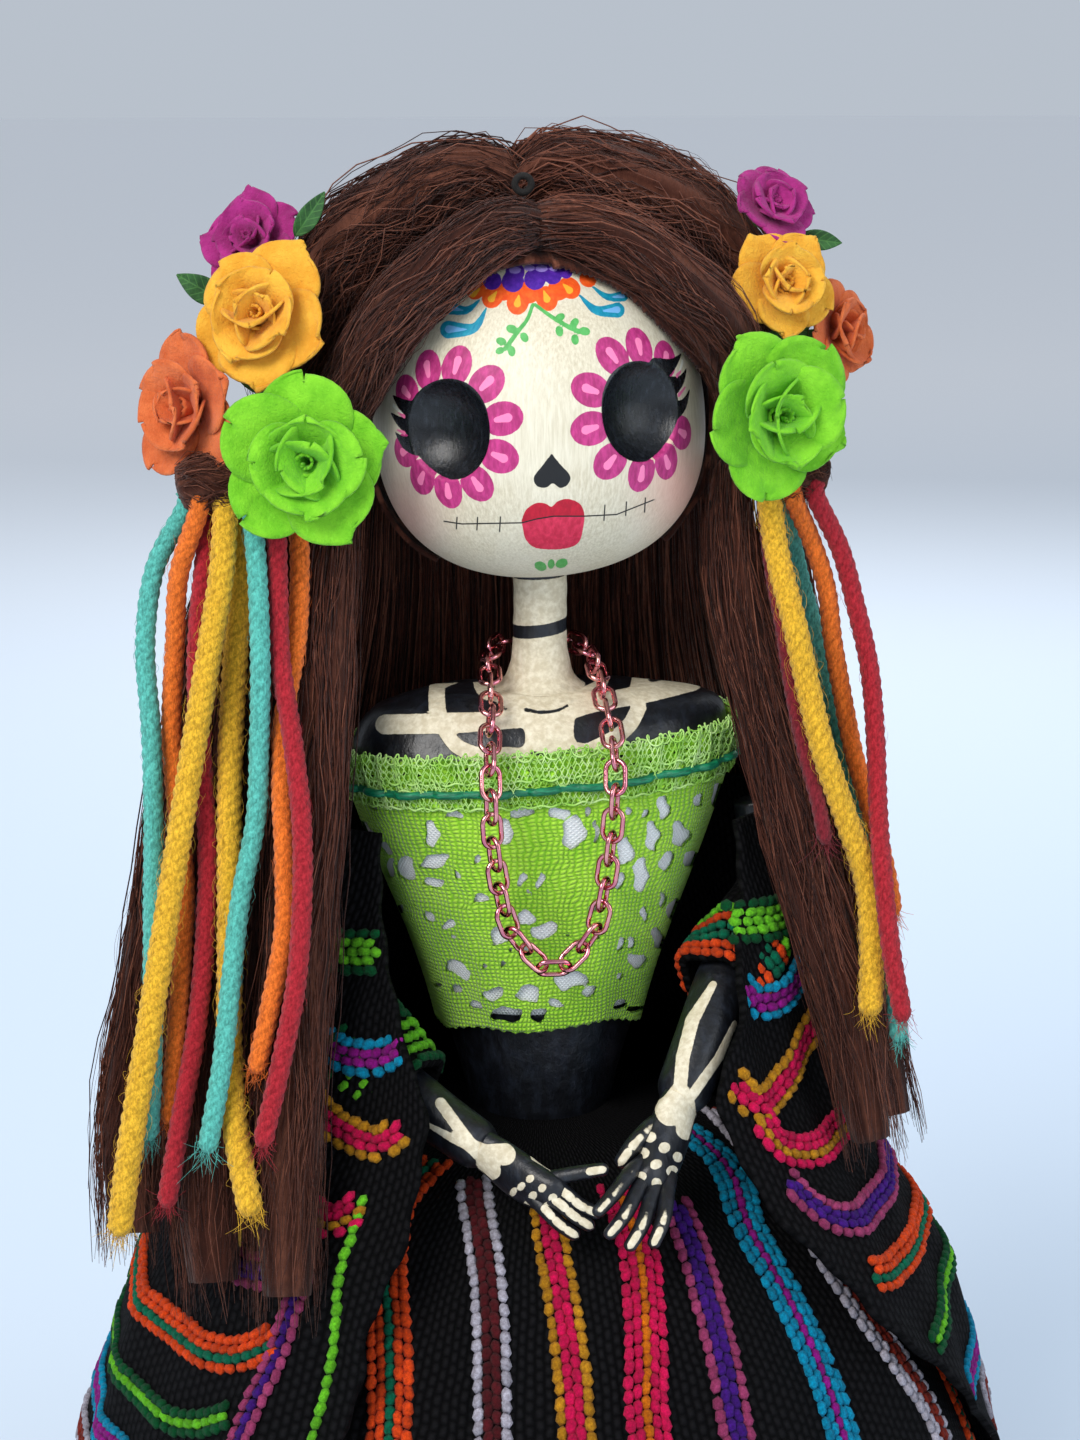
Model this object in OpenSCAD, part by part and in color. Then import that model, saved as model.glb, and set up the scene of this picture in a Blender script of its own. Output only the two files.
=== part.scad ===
// Papier-mache catrina figure: a skeleton lady in a striped shawl and a bell skirt.
// Millimetres. +Z is up, the figure faces -Y, and the origin is the middle of its underside.
// Left and right are as seen from the front, so left is -X.

/* [Base and skirt] */
// Radius of the skirt at its hem
hem_r = 92; // [80:1:100]
// Radius of the skirt's waist opening
waist_r = 15; // [13.8:0.2:18]
// Height of the skirt's waist above the ground
waist_z = 120; // [112:1:130]
// Thickness of the skirt cloth
skirt_t = 1.5; // [1:0.1:2]
// Gap between the hem and the ground
hem_gap = 1; // [0.5:0.1:2]
// Wall of the stiff bell under the skirt
form_wall = 2; // [1.5:0.1:3]
// Thickness of the wooden base board
board_t = 5; // [3:0.5:8]
// Radius of the dowel that runs up the figure
dowel_r = 2.5; // [2:0.1:3]

/* [Body] */
// Height of the torso from the top of the bell to the neck's seat
torso_h = 81; // [74:1:90]
// Half width of the shoulders
shoulder_r = 34; // [32:0.5:36]
// Wall of the torso shell
torso_wall = 2.4; // [1.8:0.1:3]
// Radius of the neck
neck_r = 4.8; // [4:0.1:5.5]
// Length of the neck
neck_h = 21; // [18:0.5:26]

/* [Head] */
// Widest radius of the skull
skull_r = 29; // [25:0.5:30]
// Wall of the skull's paper shell
skull_wall = 2.2; // [1.6:0.1:3]
// Radius of an eye socket's rim
socket_rim = 8.3; // [7:0.1:9]
// Lean of the head to the left, in degrees
head_roll = 5; // [0:1:6]
// Turn of the face to the left, in degrees
head_yaw = 5; // [0:1:8]

/* [Clothes and hair] */
// Thickness of the shawl cloth
shawl_t = 1.5; // [1:0.1:2]
// Thickness of the white lining under the lace
lining_t = 0.6; // [0.4:0.1:1]
// Thickness of the lace
lace_t = 0.8; // [0.6:0.1:1.2]
// Radius of the thick yellow yarn
thick_yarn_r = 2.3; // [1.8:0.1:2.4]
// Radius of the other yarns
thin_yarn_r = 1.8; // [1.4:0.1:1.9]

/* [Necklace] */
// Length of a link outside
link_l = 6.8; // [6.4:0.1:7]
// Width of a link outside
link_w = 4.4; // [4.2:0.1:4.6]
// Thickness of the links' wire
link_wire = 0.9; // [0.7:0.05:1]

/* [Hidden] */
// Clearances: glue line round the dowel, gap between cloth layers, gap between separate parts
glue = 0.05;
layer = 0.2;
gap = 0.4;

// Sides of the swept tubes and of the lofted shells
tube_sides = 8;
loft_sides = 28;
round_fn = 64;

// Levels up the figure
form_top = waist_z - hem_gap - skirt_t;
torso_z = form_top;
seat_z = torso_z + torso_h;
head_z = seat_z + neck_h;
skull_below = 27.5;
skull_above = 31;
skull_mid = [-0.5, -2, head_z + skull_below];
dowel_top = skull_mid.z - 6;
shoulder_lean = 0.07;

// ---------- shared shapes ----------

// Linear look-up of a column in a table whose first column is the key
function column(table, key, k) = lookup(key, [for (row = table) [row[0], row[k]]]);

// A point of the Catmull-Rom curve through p, in span i at t from 0 to 1
function curve_point(p, i, t) =
  let (a = p[max(i - 1, 0)], b = p[i], c = p[i + 1], d = p[min(i + 2, len(p) - 1)])
  0.5 * (2 * b + (c - a) * t + (2 * a - 5 * b + 4 * c - d) * t * t + (3 * b - a - 3 * c + d) * t * t * t);

// The curve through p, with n steps in each span
function curve(p, n) = [
  for (i = [0 : len(p) - 2], k = [0 : n - 1]) curve_point(p, i, k / n),
  p[len(p) - 1]
];

function unit(v) = v / norm(v);

// The direction of the path at point i
function heading(path, i) = unit(path[min(i + 1, len(path) - 1)] - path[max(i - 1, 0)]);

// A ring of points round the path at point i; flat squeezes the ring across the path's side
function ring(path, i, r, sides, flat, side) =
  let (along = heading(path, i), u = unit(cross(along, side)), v = cross(along, u))
  [for (k = [0 : sides - 1]) path[i] + r * (cos(360 * k / sides) * u + flat * sin(360 * k / sides) * v)];

// Two triangles for the quad between ring i and ring i + 1, at side k
function quad(i, k, sides) =
  let (a = i * sides + k, b = i * sides + (k + 1) % sides)
  [[a, a + sides, b], [b, a + sides, b + sides]];

// A closed tube along a path; radii has one radius for each point
module tube(path, radii, sides = tube_sides, flat = 1, side = [0, 1, 0]) {
  n = len(path);
  points = [for (i = [0 : n - 1]) each ring(path, i, radii[i], sides, flat, side)];
  walls = [for (i = [0 : n - 2], k = [0 : sides - 1]) each quad(i, k, sides)];
  ends = [[for (k = [0 : sides - 1]) k], [for (k = [sides - 1 : -1 : 0]) (n - 1) * sides + k]];
  polyhedron(points, concat(walls, ends), convexity = 4);
}

// A lock or limb: the table's rows are [x, y, z, radius]
module limb(rows, steps = 3, sides = tube_sides, flat = 1, side = [0, 1, 0]) {
  fine = curve(rows, steps);
  tube([for (p = fine) [p.x, p.y, p.z]], [for (p = fine) p[3]], sides, flat, side);
}

// A closed shell between two grids of points, each a list of rows; wrap joins a row's end to its start
module shell(outer, inner, wrap = true) {
  rows = len(outer);
  cols = len(outer[0]);
  half = rows * cols;
  spans = wrap ? cols - 1 : cols - 2;
  points = concat([for (row = outer) each row], [for (row = inner) each row]);
  skin = [
    for (i = [0 : rows - 2], k = [0 : spans])
      let (a = i * cols + k, b = i * cols + (k + 1) % cols)
      each [[a, b, a + cols], [b, b + cols, a + cols],
            [half + a, half + a + cols, half + b], [half + b, half + a + cols, half + b + cols]]
  ];
  rims = [
    for (k = [0 : spans])
      let (a = k, b = (k + 1) % cols, c = (rows - 1) * cols + k, d = (rows - 1) * cols + (k + 1) % cols)
      each [[a, half + a, b], [b, half + a, half + b], [c, d, half + c], [d, half + d, half + c]]
  ];
  edges = wrap ? [] : [
    for (i = [0 : rows - 2])
      let (a = i * cols, b = (i + 1) * cols, c = a + cols - 1, d = b + cols - 1)
      each [[a, b, half + a], [b, half + b, half + a], [c, half + c, d], [d, half + c, half + d]]
  ];
  polyhedron(points, concat(skin, rims, edges), convexity = 6);
}

// A ring of an upright loft: half widths a and b at height z, leaning with the shoulders above the waist
function loft_ring(z, a, b) =
  let (lean = shoulder_lean * max(0, min(1, (z - torso_z - 25) / 50)) * max(0, min(1, (seat_z - z) / 6)))
  [for (k = [0 : loft_sides - 1])
    let (turn = -360 * k / loft_sides)
    [a * cos(turn), b * sin(turn), z + lean * a * cos(turn)]];

// ---------- base, bell and skirt ----------

// The bell's outline: r from the waist to the hem, z from the ground up
bell_rise = 1.08;
bell_steps = 16;
function bell(reach, rise, z0) = [
  for (i = [0 : bell_steps])
    let (a = 90 * i / bell_steps)
    [waist_r + reach * cos(a), z0 + rise * pow(sin(a), bell_rise)]
];
function reversed(list) = [for (i = [len(list) - 1 : -1 : 0]) list[i]];

skirt_reach = hem_r - waist_r;
skirt_rise = waist_z - hem_gap;
form_reach = skirt_reach - skirt_t - 1.5;
form_rise = form_top - board_t;
board_r = waist_r + form_reach - 2;

module base_board() {
  color("burlywood") difference() {
    cylinder(h = board_t, r = board_r, $fn = round_fn);
    translate([0, 0, board_t * 0.3]) cylinder(h = board_t, r = dowel_r + glue, $fn = round_fn);
  }
}

module skirt_form() {
  inner = reversed(bell(form_reach - form_wall, form_rise - form_wall, board_t));
  color("tan") rotate_extrude($fn = round_fn)
    polygon(concat(
      bell(form_reach, form_rise, board_t),
      [[dowel_r + glue, form_top], [dowel_r + glue, form_top - form_wall]],
      inner
    ));
}

module skirt_cloth() {
  color([0.06, 0.06, 0.07]) rotate_extrude($fn = round_fn)
    polygon(concat(
      bell(skirt_reach, skirt_rise, hem_gap),
      reversed(bell(skirt_reach - skirt_t, skirt_rise - skirt_t, hem_gap))
    ));
}

module spine_dowel() {
  color("wheat") translate([0, 0, board_t * 0.3])
    cylinder(h = dowel_top - board_t * 0.3, r = dowel_r, $fn = round_fn);
}

// ---------- torso and its clothes ----------

// Rows of the torso: share of its height, half width and half depth as shares of the shoulders' half width
torso_rows = [
  [0.000, 0.375, 0.290], [0.060, 0.395, 0.305], [0.150, 0.450, 0.350], [0.280, 0.545, 0.410],
  [0.430, 0.665, 0.475], [0.590, 0.810, 0.530], [0.750, 0.945, 0.560], [0.850, 1.000, 0.545],
  [0.920, 0.985, 0.480], [0.970, 0.880, 0.370], [1.000, 0.600, 0.240]
];
function torso_a(share) = shoulder_r * column(torso_rows, share, 1);
function torso_b(share) = shoulder_r * column(torso_rows, share, 2);
function torso_share(z) = (z - torso_z) / torso_h;

// A band that follows the torso at these shares of its height, grown outwards by out and opening by flare
function band(levels, out, flare = 0) = [
  for (i = [0 : len(levels) - 1])
    let (s = levels[i], grow = out + flare * i / (len(levels) - 1))
    loft_ring(torso_z + torso_h * s, torso_a(s) + grow, torso_b(s) + grow)
];

lining_levels = [0.29, 0.37, 0.45, 0.53, 0.61, 0.69, 0.77, 0.84];
lace_levels = concat([0.26], lining_levels, [0.86]);
frill_levels = [0.80, 0.82, 0.84, 0.86, 0.88, 0.905];
ribbon_levels = [0.82, 0.84];
frill_t = 1.6;
ribbon_t = 0.7;
lining_in = layer;
lace_in = lining_in + lining_t + layer;
frill_in = lace_in + lace_t + layer;
ribbon_in = frill_in + frill_t + 0.5;

function torso_rings(shrink) = [
  for (row = torso_rows)
    loft_ring(torso_z + torso_h * row[0], shoulder_r * row[1] - shrink, shoulder_r * row[2] - shrink)
];

// A closed loft with flat caps, from a list of rings
module loft(rings) {
  cols = len(rings[0]);
  n = len(rings);
  walls = [
    for (i = [0 : n - 2], k = [0 : cols - 1])
      let (a = i * cols + k, b = i * cols + (k + 1) % cols)
      each [[a, b, a + cols], [b, b + cols, a + cols]]
  ];
  caps = [[for (k = [cols - 1 : -1 : 0]) k], [for (k = [0 : cols - 1]) (n - 1) * cols + k]];
  polyhedron([for (row = rings) each row], concat(walls, caps), convexity = 4);
}

// The torso's hollow stops short of its two ends, which hold the dowel
hollow_rows = [for (row = torso_rows) if (row[0] > 0.05 && row[0] < 0.95) row];
module torso_hollow() {
  loft([for (row = hollow_rows)
    loft_ring(torso_z + torso_h * row[0], shoulder_r * row[1] - torso_wall, shoulder_r * row[2] - torso_wall)]);
}

module torso_shell() {
  color([0.08, 0.08, 0.1]) difference() {
    loft(torso_rings(0));
    torso_hollow();
    translate([0, 0, torso_z - 1]) cylinder(h = torso_h + 2, r = dowel_r + glue, $fn = round_fn);
  }
}

module neck_sleeve() {
  flare_r = torso_b(1) - 0.4;
  color([0.93, 0.88, 0.76]) rotate_extrude($fn = round_fn) polygon([
    [dowel_r + glue, seat_z], [flare_r, seat_z], [neck_r + 1.1, seat_z + 2.4], [neck_r + 0.2, seat_z + 6],
    [neck_r, seat_z + 10], [neck_r, head_z], [dowel_r + glue, head_z]
  ]);
}

module bodice_lining() {
  color("white") shell(band(lining_levels, lining_in + lining_t), band(lining_levels, lining_in));
}

module bodice_lace() {
  color([0.5, 0.85, 0.15]) shell(band(lace_levels, lace_in + lace_t), band(lace_levels, lace_in));
}

module lace_frill() {
  color([0.6, 0.9, 0.35]) shell(band(frill_levels, frill_in + frill_t, 0.6), band(frill_levels, frill_in, 0.6));
}

module frill_ribbon() {
  color([0.05, 0.6, 0.3]) shell(band(ribbon_levels, ribbon_in + ribbon_t), band(ribbon_levels, ribbon_in));
}

// ---------- shawl ----------

// Rows of the shawl: height, half width, half depth in front, half depth behind, all round the figure's axis
shawl_rows = [
  [177, 47, 24, 27], [168, 48, 27, 29], [158, 49, 33, 32], [148, 50, 40, 36], [138, 51.5, 46, 41],
  [128, 54, 50, 48], [118, 59, 56, 57], [108, 66, 65, 66], [96, 73, 72, 73], [82, 78.7, 78.2, 78.7],
  [66, 83.9, 83.9, 83.9], [50, 87.8, 87.8, 87.8], [36, 90.5, 90.5, 90.5]
];
// Where the shawl's front edges are, in degrees from the front, on the left and on the right
edge_rows = [
  [36, 37, 90], [50, 36, 80], [66, 35, 68], [82, 34, 56], [96, 33, 46], [108, 32, 39],
  [118, 31, 34], [128, 31, 32], [138, 34, 34], [148, 42, 44], [158, 50, 52], [168, 56, 58], [177, 60, 62]
];
shawl_cols = 37;
function shawl_point(z, turn, out) =
  let (a = column(shawl_rows, z, 1) + out,
       b = column(shawl_rows, z, cos(turn) > 0 ? 2 : 3) + out,
       r = 1 / sqrt(pow(sin(turn) / a, 2) + pow(cos(turn) / b, 2)))
  [r * sin(turn), -r * cos(turn), z];
function shawl_grid(out) = [
  for (row = shawl_rows)
    let (from = column(edge_rows, row[0], 2), to = 360 - column(edge_rows, row[0], 1))
    [for (k = [0 : shawl_cols - 1]) shawl_point(row[0], from + (to - from) * k / (shawl_cols - 1), out)]
];

module shawl_cloth() {
  color([0.06, 0.06, 0.07]) shell(shawl_grid(0), shawl_grid(-shawl_t), wrap = false);
}

// ---------- arms and hands ----------

// Rows of [x, y, z, radius] from the shoulder to the wrist
arm_rows_left = [[-39.5, 0, 176, 3.8], [-41.5, -1, 162, 4.8], [-41, -6, 148, 5], [-36, -15.5, 138.2, 4.8],
                 [-23.5, -28, 129.4, 4.7], [-13.5, -37.5, 124, 4.3]];
arm_rows_right = [[39.5, 0, 176, 3.8], [41.5, -1, 166, 4.8], [40, -6, 156, 5.2], [31.5, -17.5, 148.5, 5.2],
                  [24.5, -29, 139.5, 5], [18.8, -36.5, 130, 4.8]];
wire_r = 0.8;
// The wire's line, from near the shoulder to the middle of the hand, as rows of one radius
function wire_rows(rows, palm, r) = [
  for (p = concat([for (i = [1 : len(rows) - 1]) rows[i]], [palm[1]])) [p.x, p.y, p.z, r]
];

module arm_wire(rows, palm) {
  color("silver") limb(wire_rows(rows, palm, wire_r), 2, 6);
}
module wire_hole(rows, palm) {
  limb(wire_rows(rows, palm, wire_r + glue), 2, 6);
}

module arm(rows, palm) {
  color([0.08, 0.08, 0.1]) difference() {
    limb(rows, 3, 12);
    wire_hole(rows, palm);
  }
}

// Palms: rows from the wrist to the knuckles, and the fingers' rows from knuckle to tip
palm_left = [[-13.1, -37.9, 123.8, 4.3], [-8, -42.8, 121, 4.8], [-3.5, -46.6, 119.6, 4.3]];
fingers_left = [
  [[-5, -45.5, 122.5, 1.3], [-0.5, -47.5, 124, 1.3], [5, -48.5, 125, 1.1]],
  [[-3, -47.5, 121, 1.3], [0, -49.5, 119, 1.3], [3.5, -50.8, 117.6, 1.1]],
  [[-4, -48, 119.5, 1.3], [-1, -50, 117.3, 1.3], [2, -51.5, 115.6, 1.1]],
  [[-6, -47, 118, 1.3], [-3.5, -49.5, 115.8, 1.3], [-0.5, -51.3, 114, 1.1]]
];
palm_right = [[18.5, -36.9, 129.5, 4.8], [14.9, -42, 123.6, 5.3], [12.2, -46.6, 120.4, 4.8]];
fingers_right = [
  [[14, -40, 129, 1.5], [10, -43.5, 127, 1.5], [7, -45.5, 124, 1.2]],
  [[9, -47.5, 123.8, 1.3], [5.2, -51.8, 121.6, 1.3], [1.5, -55, 119.4, 1.1]],
  [[10, -49, 121.3, 1.3], [6.8, -53.8, 118.6, 1.3], [3.2, -56.6, 115.9, 1.1]],
  [[12, -50, 120, 1.3], [9.6, -54.8, 117, 1.3], [6.6, -57.4, 113.8, 1.1]],
  [[15, -48.5, 120.5, 1.3], [13.4, -54, 117.6, 1.3], [10.8, -57.2, 113.9, 1.1]]
];
module hand(rows, palm, fingers) {
  color([0.08, 0.08, 0.1]) difference() {
    union() {
      limb(palm, 2, 10, 0.62, unit([0.2, -1, -0.5]));
      for (finger = fingers) limb(finger, 2, 8);
    }
    wire_hole(rows, palm);
  }
}

// ---------- head ----------

// The skull's outline, wall thinner than the outside by inset; squarer below than above
skull_steps = 12;
function skull_outline(inset) = concat(
  [[0, -(skull_below - inset)]],
  [for (i = [1 : skull_steps])
    let (a = 90 * i / skull_steps)
    [(skull_r - inset) * pow(sin(a), 2 / 2.45), -(skull_below - inset) * pow(cos(a), 2 / 2.45)]],
  [for (i = [1 : skull_steps - 1])
    let (a = 90 * i / skull_steps)
    [(skull_r - inset) * pow(cos(a), 2 / 2.1), (skull_above - inset) * pow(sin(a), 2 / 2.1)]],
  [[0, skull_above - inset]]
);

socket_ball = 10.5;
socket_turn = 35.5;
socket_rise = 2.5;
module in_head() {
  translate(skull_mid) rotate([0, -head_roll, 0]) rotate([0, 0, -head_yaw]) children();
}
module skull_solid(inset) {
  rotate_extrude($fn = round_fn) polygon(skull_outline(inset));
}
// The two balls that hollow the eye sockets; grow leaves a wall round them
module sockets(grow) {
  away = sqrt(pow(skull_r, 2) - pow(socket_rim, 2)) + sqrt(pow(socket_ball, 2) - pow(socket_rim, 2));
  for (turn = [-socket_turn, socket_turn])
    translate([away * sin(turn), -away * cos(turn), socket_rise]) sphere(r = socket_ball + grow, $fn = round_fn);
}
// The bore for the dowel, with a flat under the chin for the neck to meet
module dowel_hole() {
  translate([0, 0, head_z - 5]) cylinder(h = dowel_top + gap - head_z + 5, r = dowel_r + glue, $fn = round_fn);
  translate([0, 0, head_z - 5]) cylinder(h = 5, r = neck_r + 1, $fn = round_fn);
}

module skull_core() {
  color("whitesmoke") difference() {
    in_head() difference() {
      skull_solid(skull_wall + 0.1);
      sockets(skull_wall + 0.1);
    }
    dowel_hole();
  }
}

module skull_shell() {
  color([0.93, 0.88, 0.76]) difference() {
    in_head() difference() {
      skull_solid(0);
      sockets(0);
      difference() {
        skull_solid(skull_wall);
        sockets(skull_wall);
      }
    }
    dowel_hole();
  }
}

// ---------- hair ----------

// Points in the skull's place: angle round the face from the right, distance from the skull's middle
function round_head(angle, away, y) = [skull_mid.x + away * cos(angle), y, skull_mid.z + away * sin(angle)];

// The two big rolls over the crown, tucked in at the parting and at the temples
puff_away = skull_r + 11.5;
module hair_puff(side) {
  rows = [for (s = [0 : 6])
    let (share = s / 6, swell = sin(12 + 148 * share))
    concat(round_head(90 + head_roll + side * (6.5 + 82 * share), puff_away + share, 3 - 3 * share), [4 + 6.1 * swell])];
  color([0.22, 0.11, 0.08]) limb(rows, 2, 12);
}

// The flat rolls that frame the forehead
module hair_band(side) {
  rows = [
    [skull_mid.x - 2.5 + side * 3, -17, skull_mid.z + 34, 2.5], [skull_mid.x - 1 + side * 14, -20, skull_mid.z + 30.5, 4.4],
    [skull_mid.x + side * 26.5, -20, skull_mid.z + 20, 4.6], [skull_mid.x + side * 34, -14, skull_mid.z + 5, 3.4]
  ];
  color([0.24, 0.12, 0.09]) limb(rows, 3, 10);
}

// The fall behind: a curtain from the crown, down over the back of the shawl
back_rows = [
  [skull_mid.z + 33, 14, 20, 16, 21, 40], [skull_mid.z + 26, 23, 33, 20, 30, 48],
  [skull_mid.z + 10, 31, 42, 30, 41, 62], [skull_mid.z - 12, 31.5, 42.5, 31, 42, 74],
  [skull_mid.z - 35, 34, 42, 30, 39, 74], [190, 41, 47, 30, 38, 74], [179, 49, 55, 30, 38, 74],
  [165, 50.5, 57, 33, 40, 74], [148, 53, 59, 40, 46, 74], [130, 56, 61, 51, 56, 74], [116, 62, 65, 61, 64, 74]
];
back_cols = 15;
// A row is [z, inner x, outer x, inner y, outer y, how far round each way from the back]
function back_ring(row, k) = [
  for (i = [0 : back_cols - 1])
    let (turn = 180 + row[5] * (2 * i / (back_cols - 1) - 1),
         r = 1 / sqrt(pow(sin(turn) / row[k], 2) + pow(cos(turn) / row[k + 2], 2)))
    [r * sin(turn), -r * cos(turn), row[0]]
];
module hair_back() {
  rows = back_rows;
  color([0.18, 0.09, 0.07])
    shell([for (row = rows) back_ring(row, 2)], [for (row = rows) back_ring(row, 1)], wrap = false);
}

lock_rows_left = [
  [[-35.5, -7, 240, 3], [-39, -12, 215, 5], [-42.5, -23, 185, 6], [-46.5, -32, 155, 6.3], [-49, -42, 128, 6.3], [-50, -52, 108, 4]],
  [[-46, -2, 236, 3], [-50, -6, 212, 5.5], [-55, -14, 180, 6.2], [-59.5, -23, 150, 6.8], [-62, -33, 125, 6.8], [-62, -42, 106, 4]],
  [[-48, 8, 236, 3], [-56, 8, 212, 5.5], [-63, 3, 180, 6.5], [-69, -5, 150, 7], [-74, -15, 125, 7], [-75, -23, 108, 4]]
];
lock_rows_right = [
  [[32.5, -5.5, 240, 3], [32.5, -12, 220, 4.8], [38, -16, 195, 5.3], [44, -21, 170, 5.6], [50.5, -26, 145, 5.6], [55, -32, 122, 3.6]],
  [[44, 0, 238, 3], [45, 1, 212, 4.8], [49, -1, 190, 5], [55, -3, 165, 5.6], [59.5, -8, 140, 5.6], [63, -15, 120, 3.6]]
];
module hair_lock(rows) {
  color([0.24, 0.12, 0.09]) limb(rows, 3, 10);
}

// Black thread that pulls the hair together at the parting
module parting_thread() {
  at = round_head(90 + head_roll, puff_away, -8);
  color([0.05, 0.04, 0.04]) translate(at) rotate([90, 0, 0]) rotate_extrude($fn = round_fn) translate([1.4, 0]) circle(r = 0.6, $fn = 16);
}

// ---------- roses ----------

// One paper rose as its closed outer shape: base, flared petals and a raised heart, facing +Z
module rose_form(r) {
  rotate_extrude($fn = round_fn) polygon([
    [0, 0], [0.3 * r, 0], [0.62 * r, 0.16 * r], [r, 0.5 * r], [0.97 * r, 0.62 * r], [0.6 * r, 0.42 * r],
    [0.5 * r, 0.72 * r], [0.25 * r, 0.84 * r], [0, 0.84 * r]
  ]);
}
// Turns +Z towards a direction in the front half, given as degrees to the right and degrees up
module facing(right, up) {
  rotate([0, 0, right]) rotate([90 - up, 0, 0]) children();
}
// Roses: base point, radius, degrees turned to the right of the front, degrees up
rose_rows_left = [[[-41.5, -22, 242.8], 12.6, -12, 4], [[-59, -10, 250.2], 10.4, -52, 6],
                  [[-48, -12, 265.5], 10.8, -22, 14], [[-48.5, -1, 276.5], 8.4, -35, 30]];
rose_rows_right = [[[36, -19.5, 249.2], 12.4, 18, 0], [[49.5, -7, 261.5], 8, 50, 8],
                   [[39, -13, 270], 8.4, 14, 14], [[38.4, -6, 282.2], 7, 25, 35]];
module rose(row) {
  translate(row[0]) facing(row[2], row[3]) rose_form(row[1]);
}
// The middle of the wall behind a rose, back along its stem
function behind(row, back) =
  let (out = [sin(row[2]) * cos(row[3]), -cos(row[2]) * cos(row[3]), sin(row[3])])
  row[0] - back * out;

leaf_t = 0.6;
module leaf(l, w) {
  r = (l * l / 4 + w * w / 4) / w;
  linear_extrude(leaf_t) intersection() {
    translate([l / 2, r - w / 2]) circle(r = r, $fn = 96);
    translate([l / 2, w / 2 - r]) circle(r = r, $fn = 96);
  }
}
// Leaves lie behind the roses, each at a point, turned in the picture plane
module leaves(rows) {
  color([0.13, 0.4, 0.12]) for (row = rows) translate(row[0]) rotate([90, 0, 0]) rotate([0, 0, row[1]]) leaf(row[2], row[3]);
}
leaf_rows_left = [[[-53.5, -13.4, 256.5], -12, 12, 5], [[-55, -5, 268], 150, 9, 4.5], [[-43, -10, 279], 55, 9, 3.5]];
leaf_rows_right = [[[35, -13.5, 258.5], 25, 11, 5], [[44, -7, 278], -8, 8, 3.5]];

// Wire stems wound in green paper: each goes back from its rose
stem_r = 0.9;
stem_l = 3.5;
module stems(rows) {
  color([0.1, 0.25, 0.15]) for (row = rows)
    limb([concat(behind(row, 0.1), [stem_r]), concat(behind(row, stem_l / 2), [stem_r]), concat(behind(row, stem_l), [stem_r])], 1, 6, 1, [0, 0, 1]);
}

// ---------- yarn ----------

// Strips of felt that the yarns are sewn to, behind the lowest roses
band_z = 237;
band_t = 2.5;
module yarn_band(low, high) {
  color("darkolivegreen") translate([low.x, low.y, band_z]) cube([high.x - low.x, high.y - low.y, band_t]);
}
yarn_band_left_box = [[-65, -21.5], [-41, -10.5]];
yarn_band_right_box = [[35, -19.5], [49, -9]];

// Each yarn: the points it follows, from under its felt strip to its free end, and its radius
yarn_left = [
  [[[-56, -18.5, 234], [-57, -20.5, 223.5], [-60, -22.5, 207.5], [-63, -24.5, 192], [-66, -27.5, 176.5], [-69, -33, 161.5], [-72, -39, 147], [-75, -43, 132], [-77.5, -44, 116]], thick_yarn_r],
  [[[-53.5, -13, 234], [-54, -14.5, 218], [-55.5, -17.5, 201], [-56.5, -22, 187], [-57, -27, 173], [-57.5, -31, 159], [-58, -36.5, 146], [-57.5, -44, 133], [-55.5, -51, 121]], thick_yarn_r],
  [[[-62.5, -13, 234], [-68, -13, 223.5], [-70, -14.5, 210.5], [-69.5, -17.5, 197], [-69.5, -20, 183], [-70, -24, 169], [-70.5, -30, 156], [-71, -35, 143.5], [-72, -39, 130.5]], thin_yarn_r],
  [[[-60.5, -18.3, 234], [-64, -16.5, 223], [-65, -15, 210.5], [-66, -15.5, 196.5], [-65.5, -17.5, 183], [-64.5, -21.5, 170], [-65.5, -27, 157.5], [-67, -33, 145], [-68.5, -37, 132.5]], thin_yarn_r],
  [[[-58, -13, 234], [-60, -16.5, 222.5], [-61.5, -18, 207], [-61, -19.5, 191.5], [-60.5, -23, 176.5], [-61.5, -28, 162], [-63.5, -34, 148], [-66.5, -40, 135], [-69.5, -43, 120]], thin_yarn_r],
  [[[-51.5, -18.5, 234], [-51, -22, 223.5], [-51, -26, 210], [-51.5, -27, 196.5], [-52.5, -29, 183], [-55.5, -32.5, 170], [-57.5, -37, 157.5], [-59.5, -43, 145], [-62.5, -47, 131]], thin_yarn_r],
  [[[-47.5, -18.5, 234], [-47.5, -20.5, 222.5], [-47.5, -24, 209.5], [-46, -29, 196.5], [-45, -33.5, 183.5], [-45.5, -39, 171], [-47, -42, 157.5], [-50, -45, 144.5], [-53.5, -48.5, 132]], thin_yarn_r],
  [[[-43.5, -13, 234], [-43.5, -15.5, 223.5], [-44.5, -19.5, 211.5], [-47, -23.5, 200], [-48, -28, 188.5], [-48, -33, 177.5], [-48.5, -37, 166], [-51, -40, 154.5], [-54, -43, 143]], thin_yarn_r]
];
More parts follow.
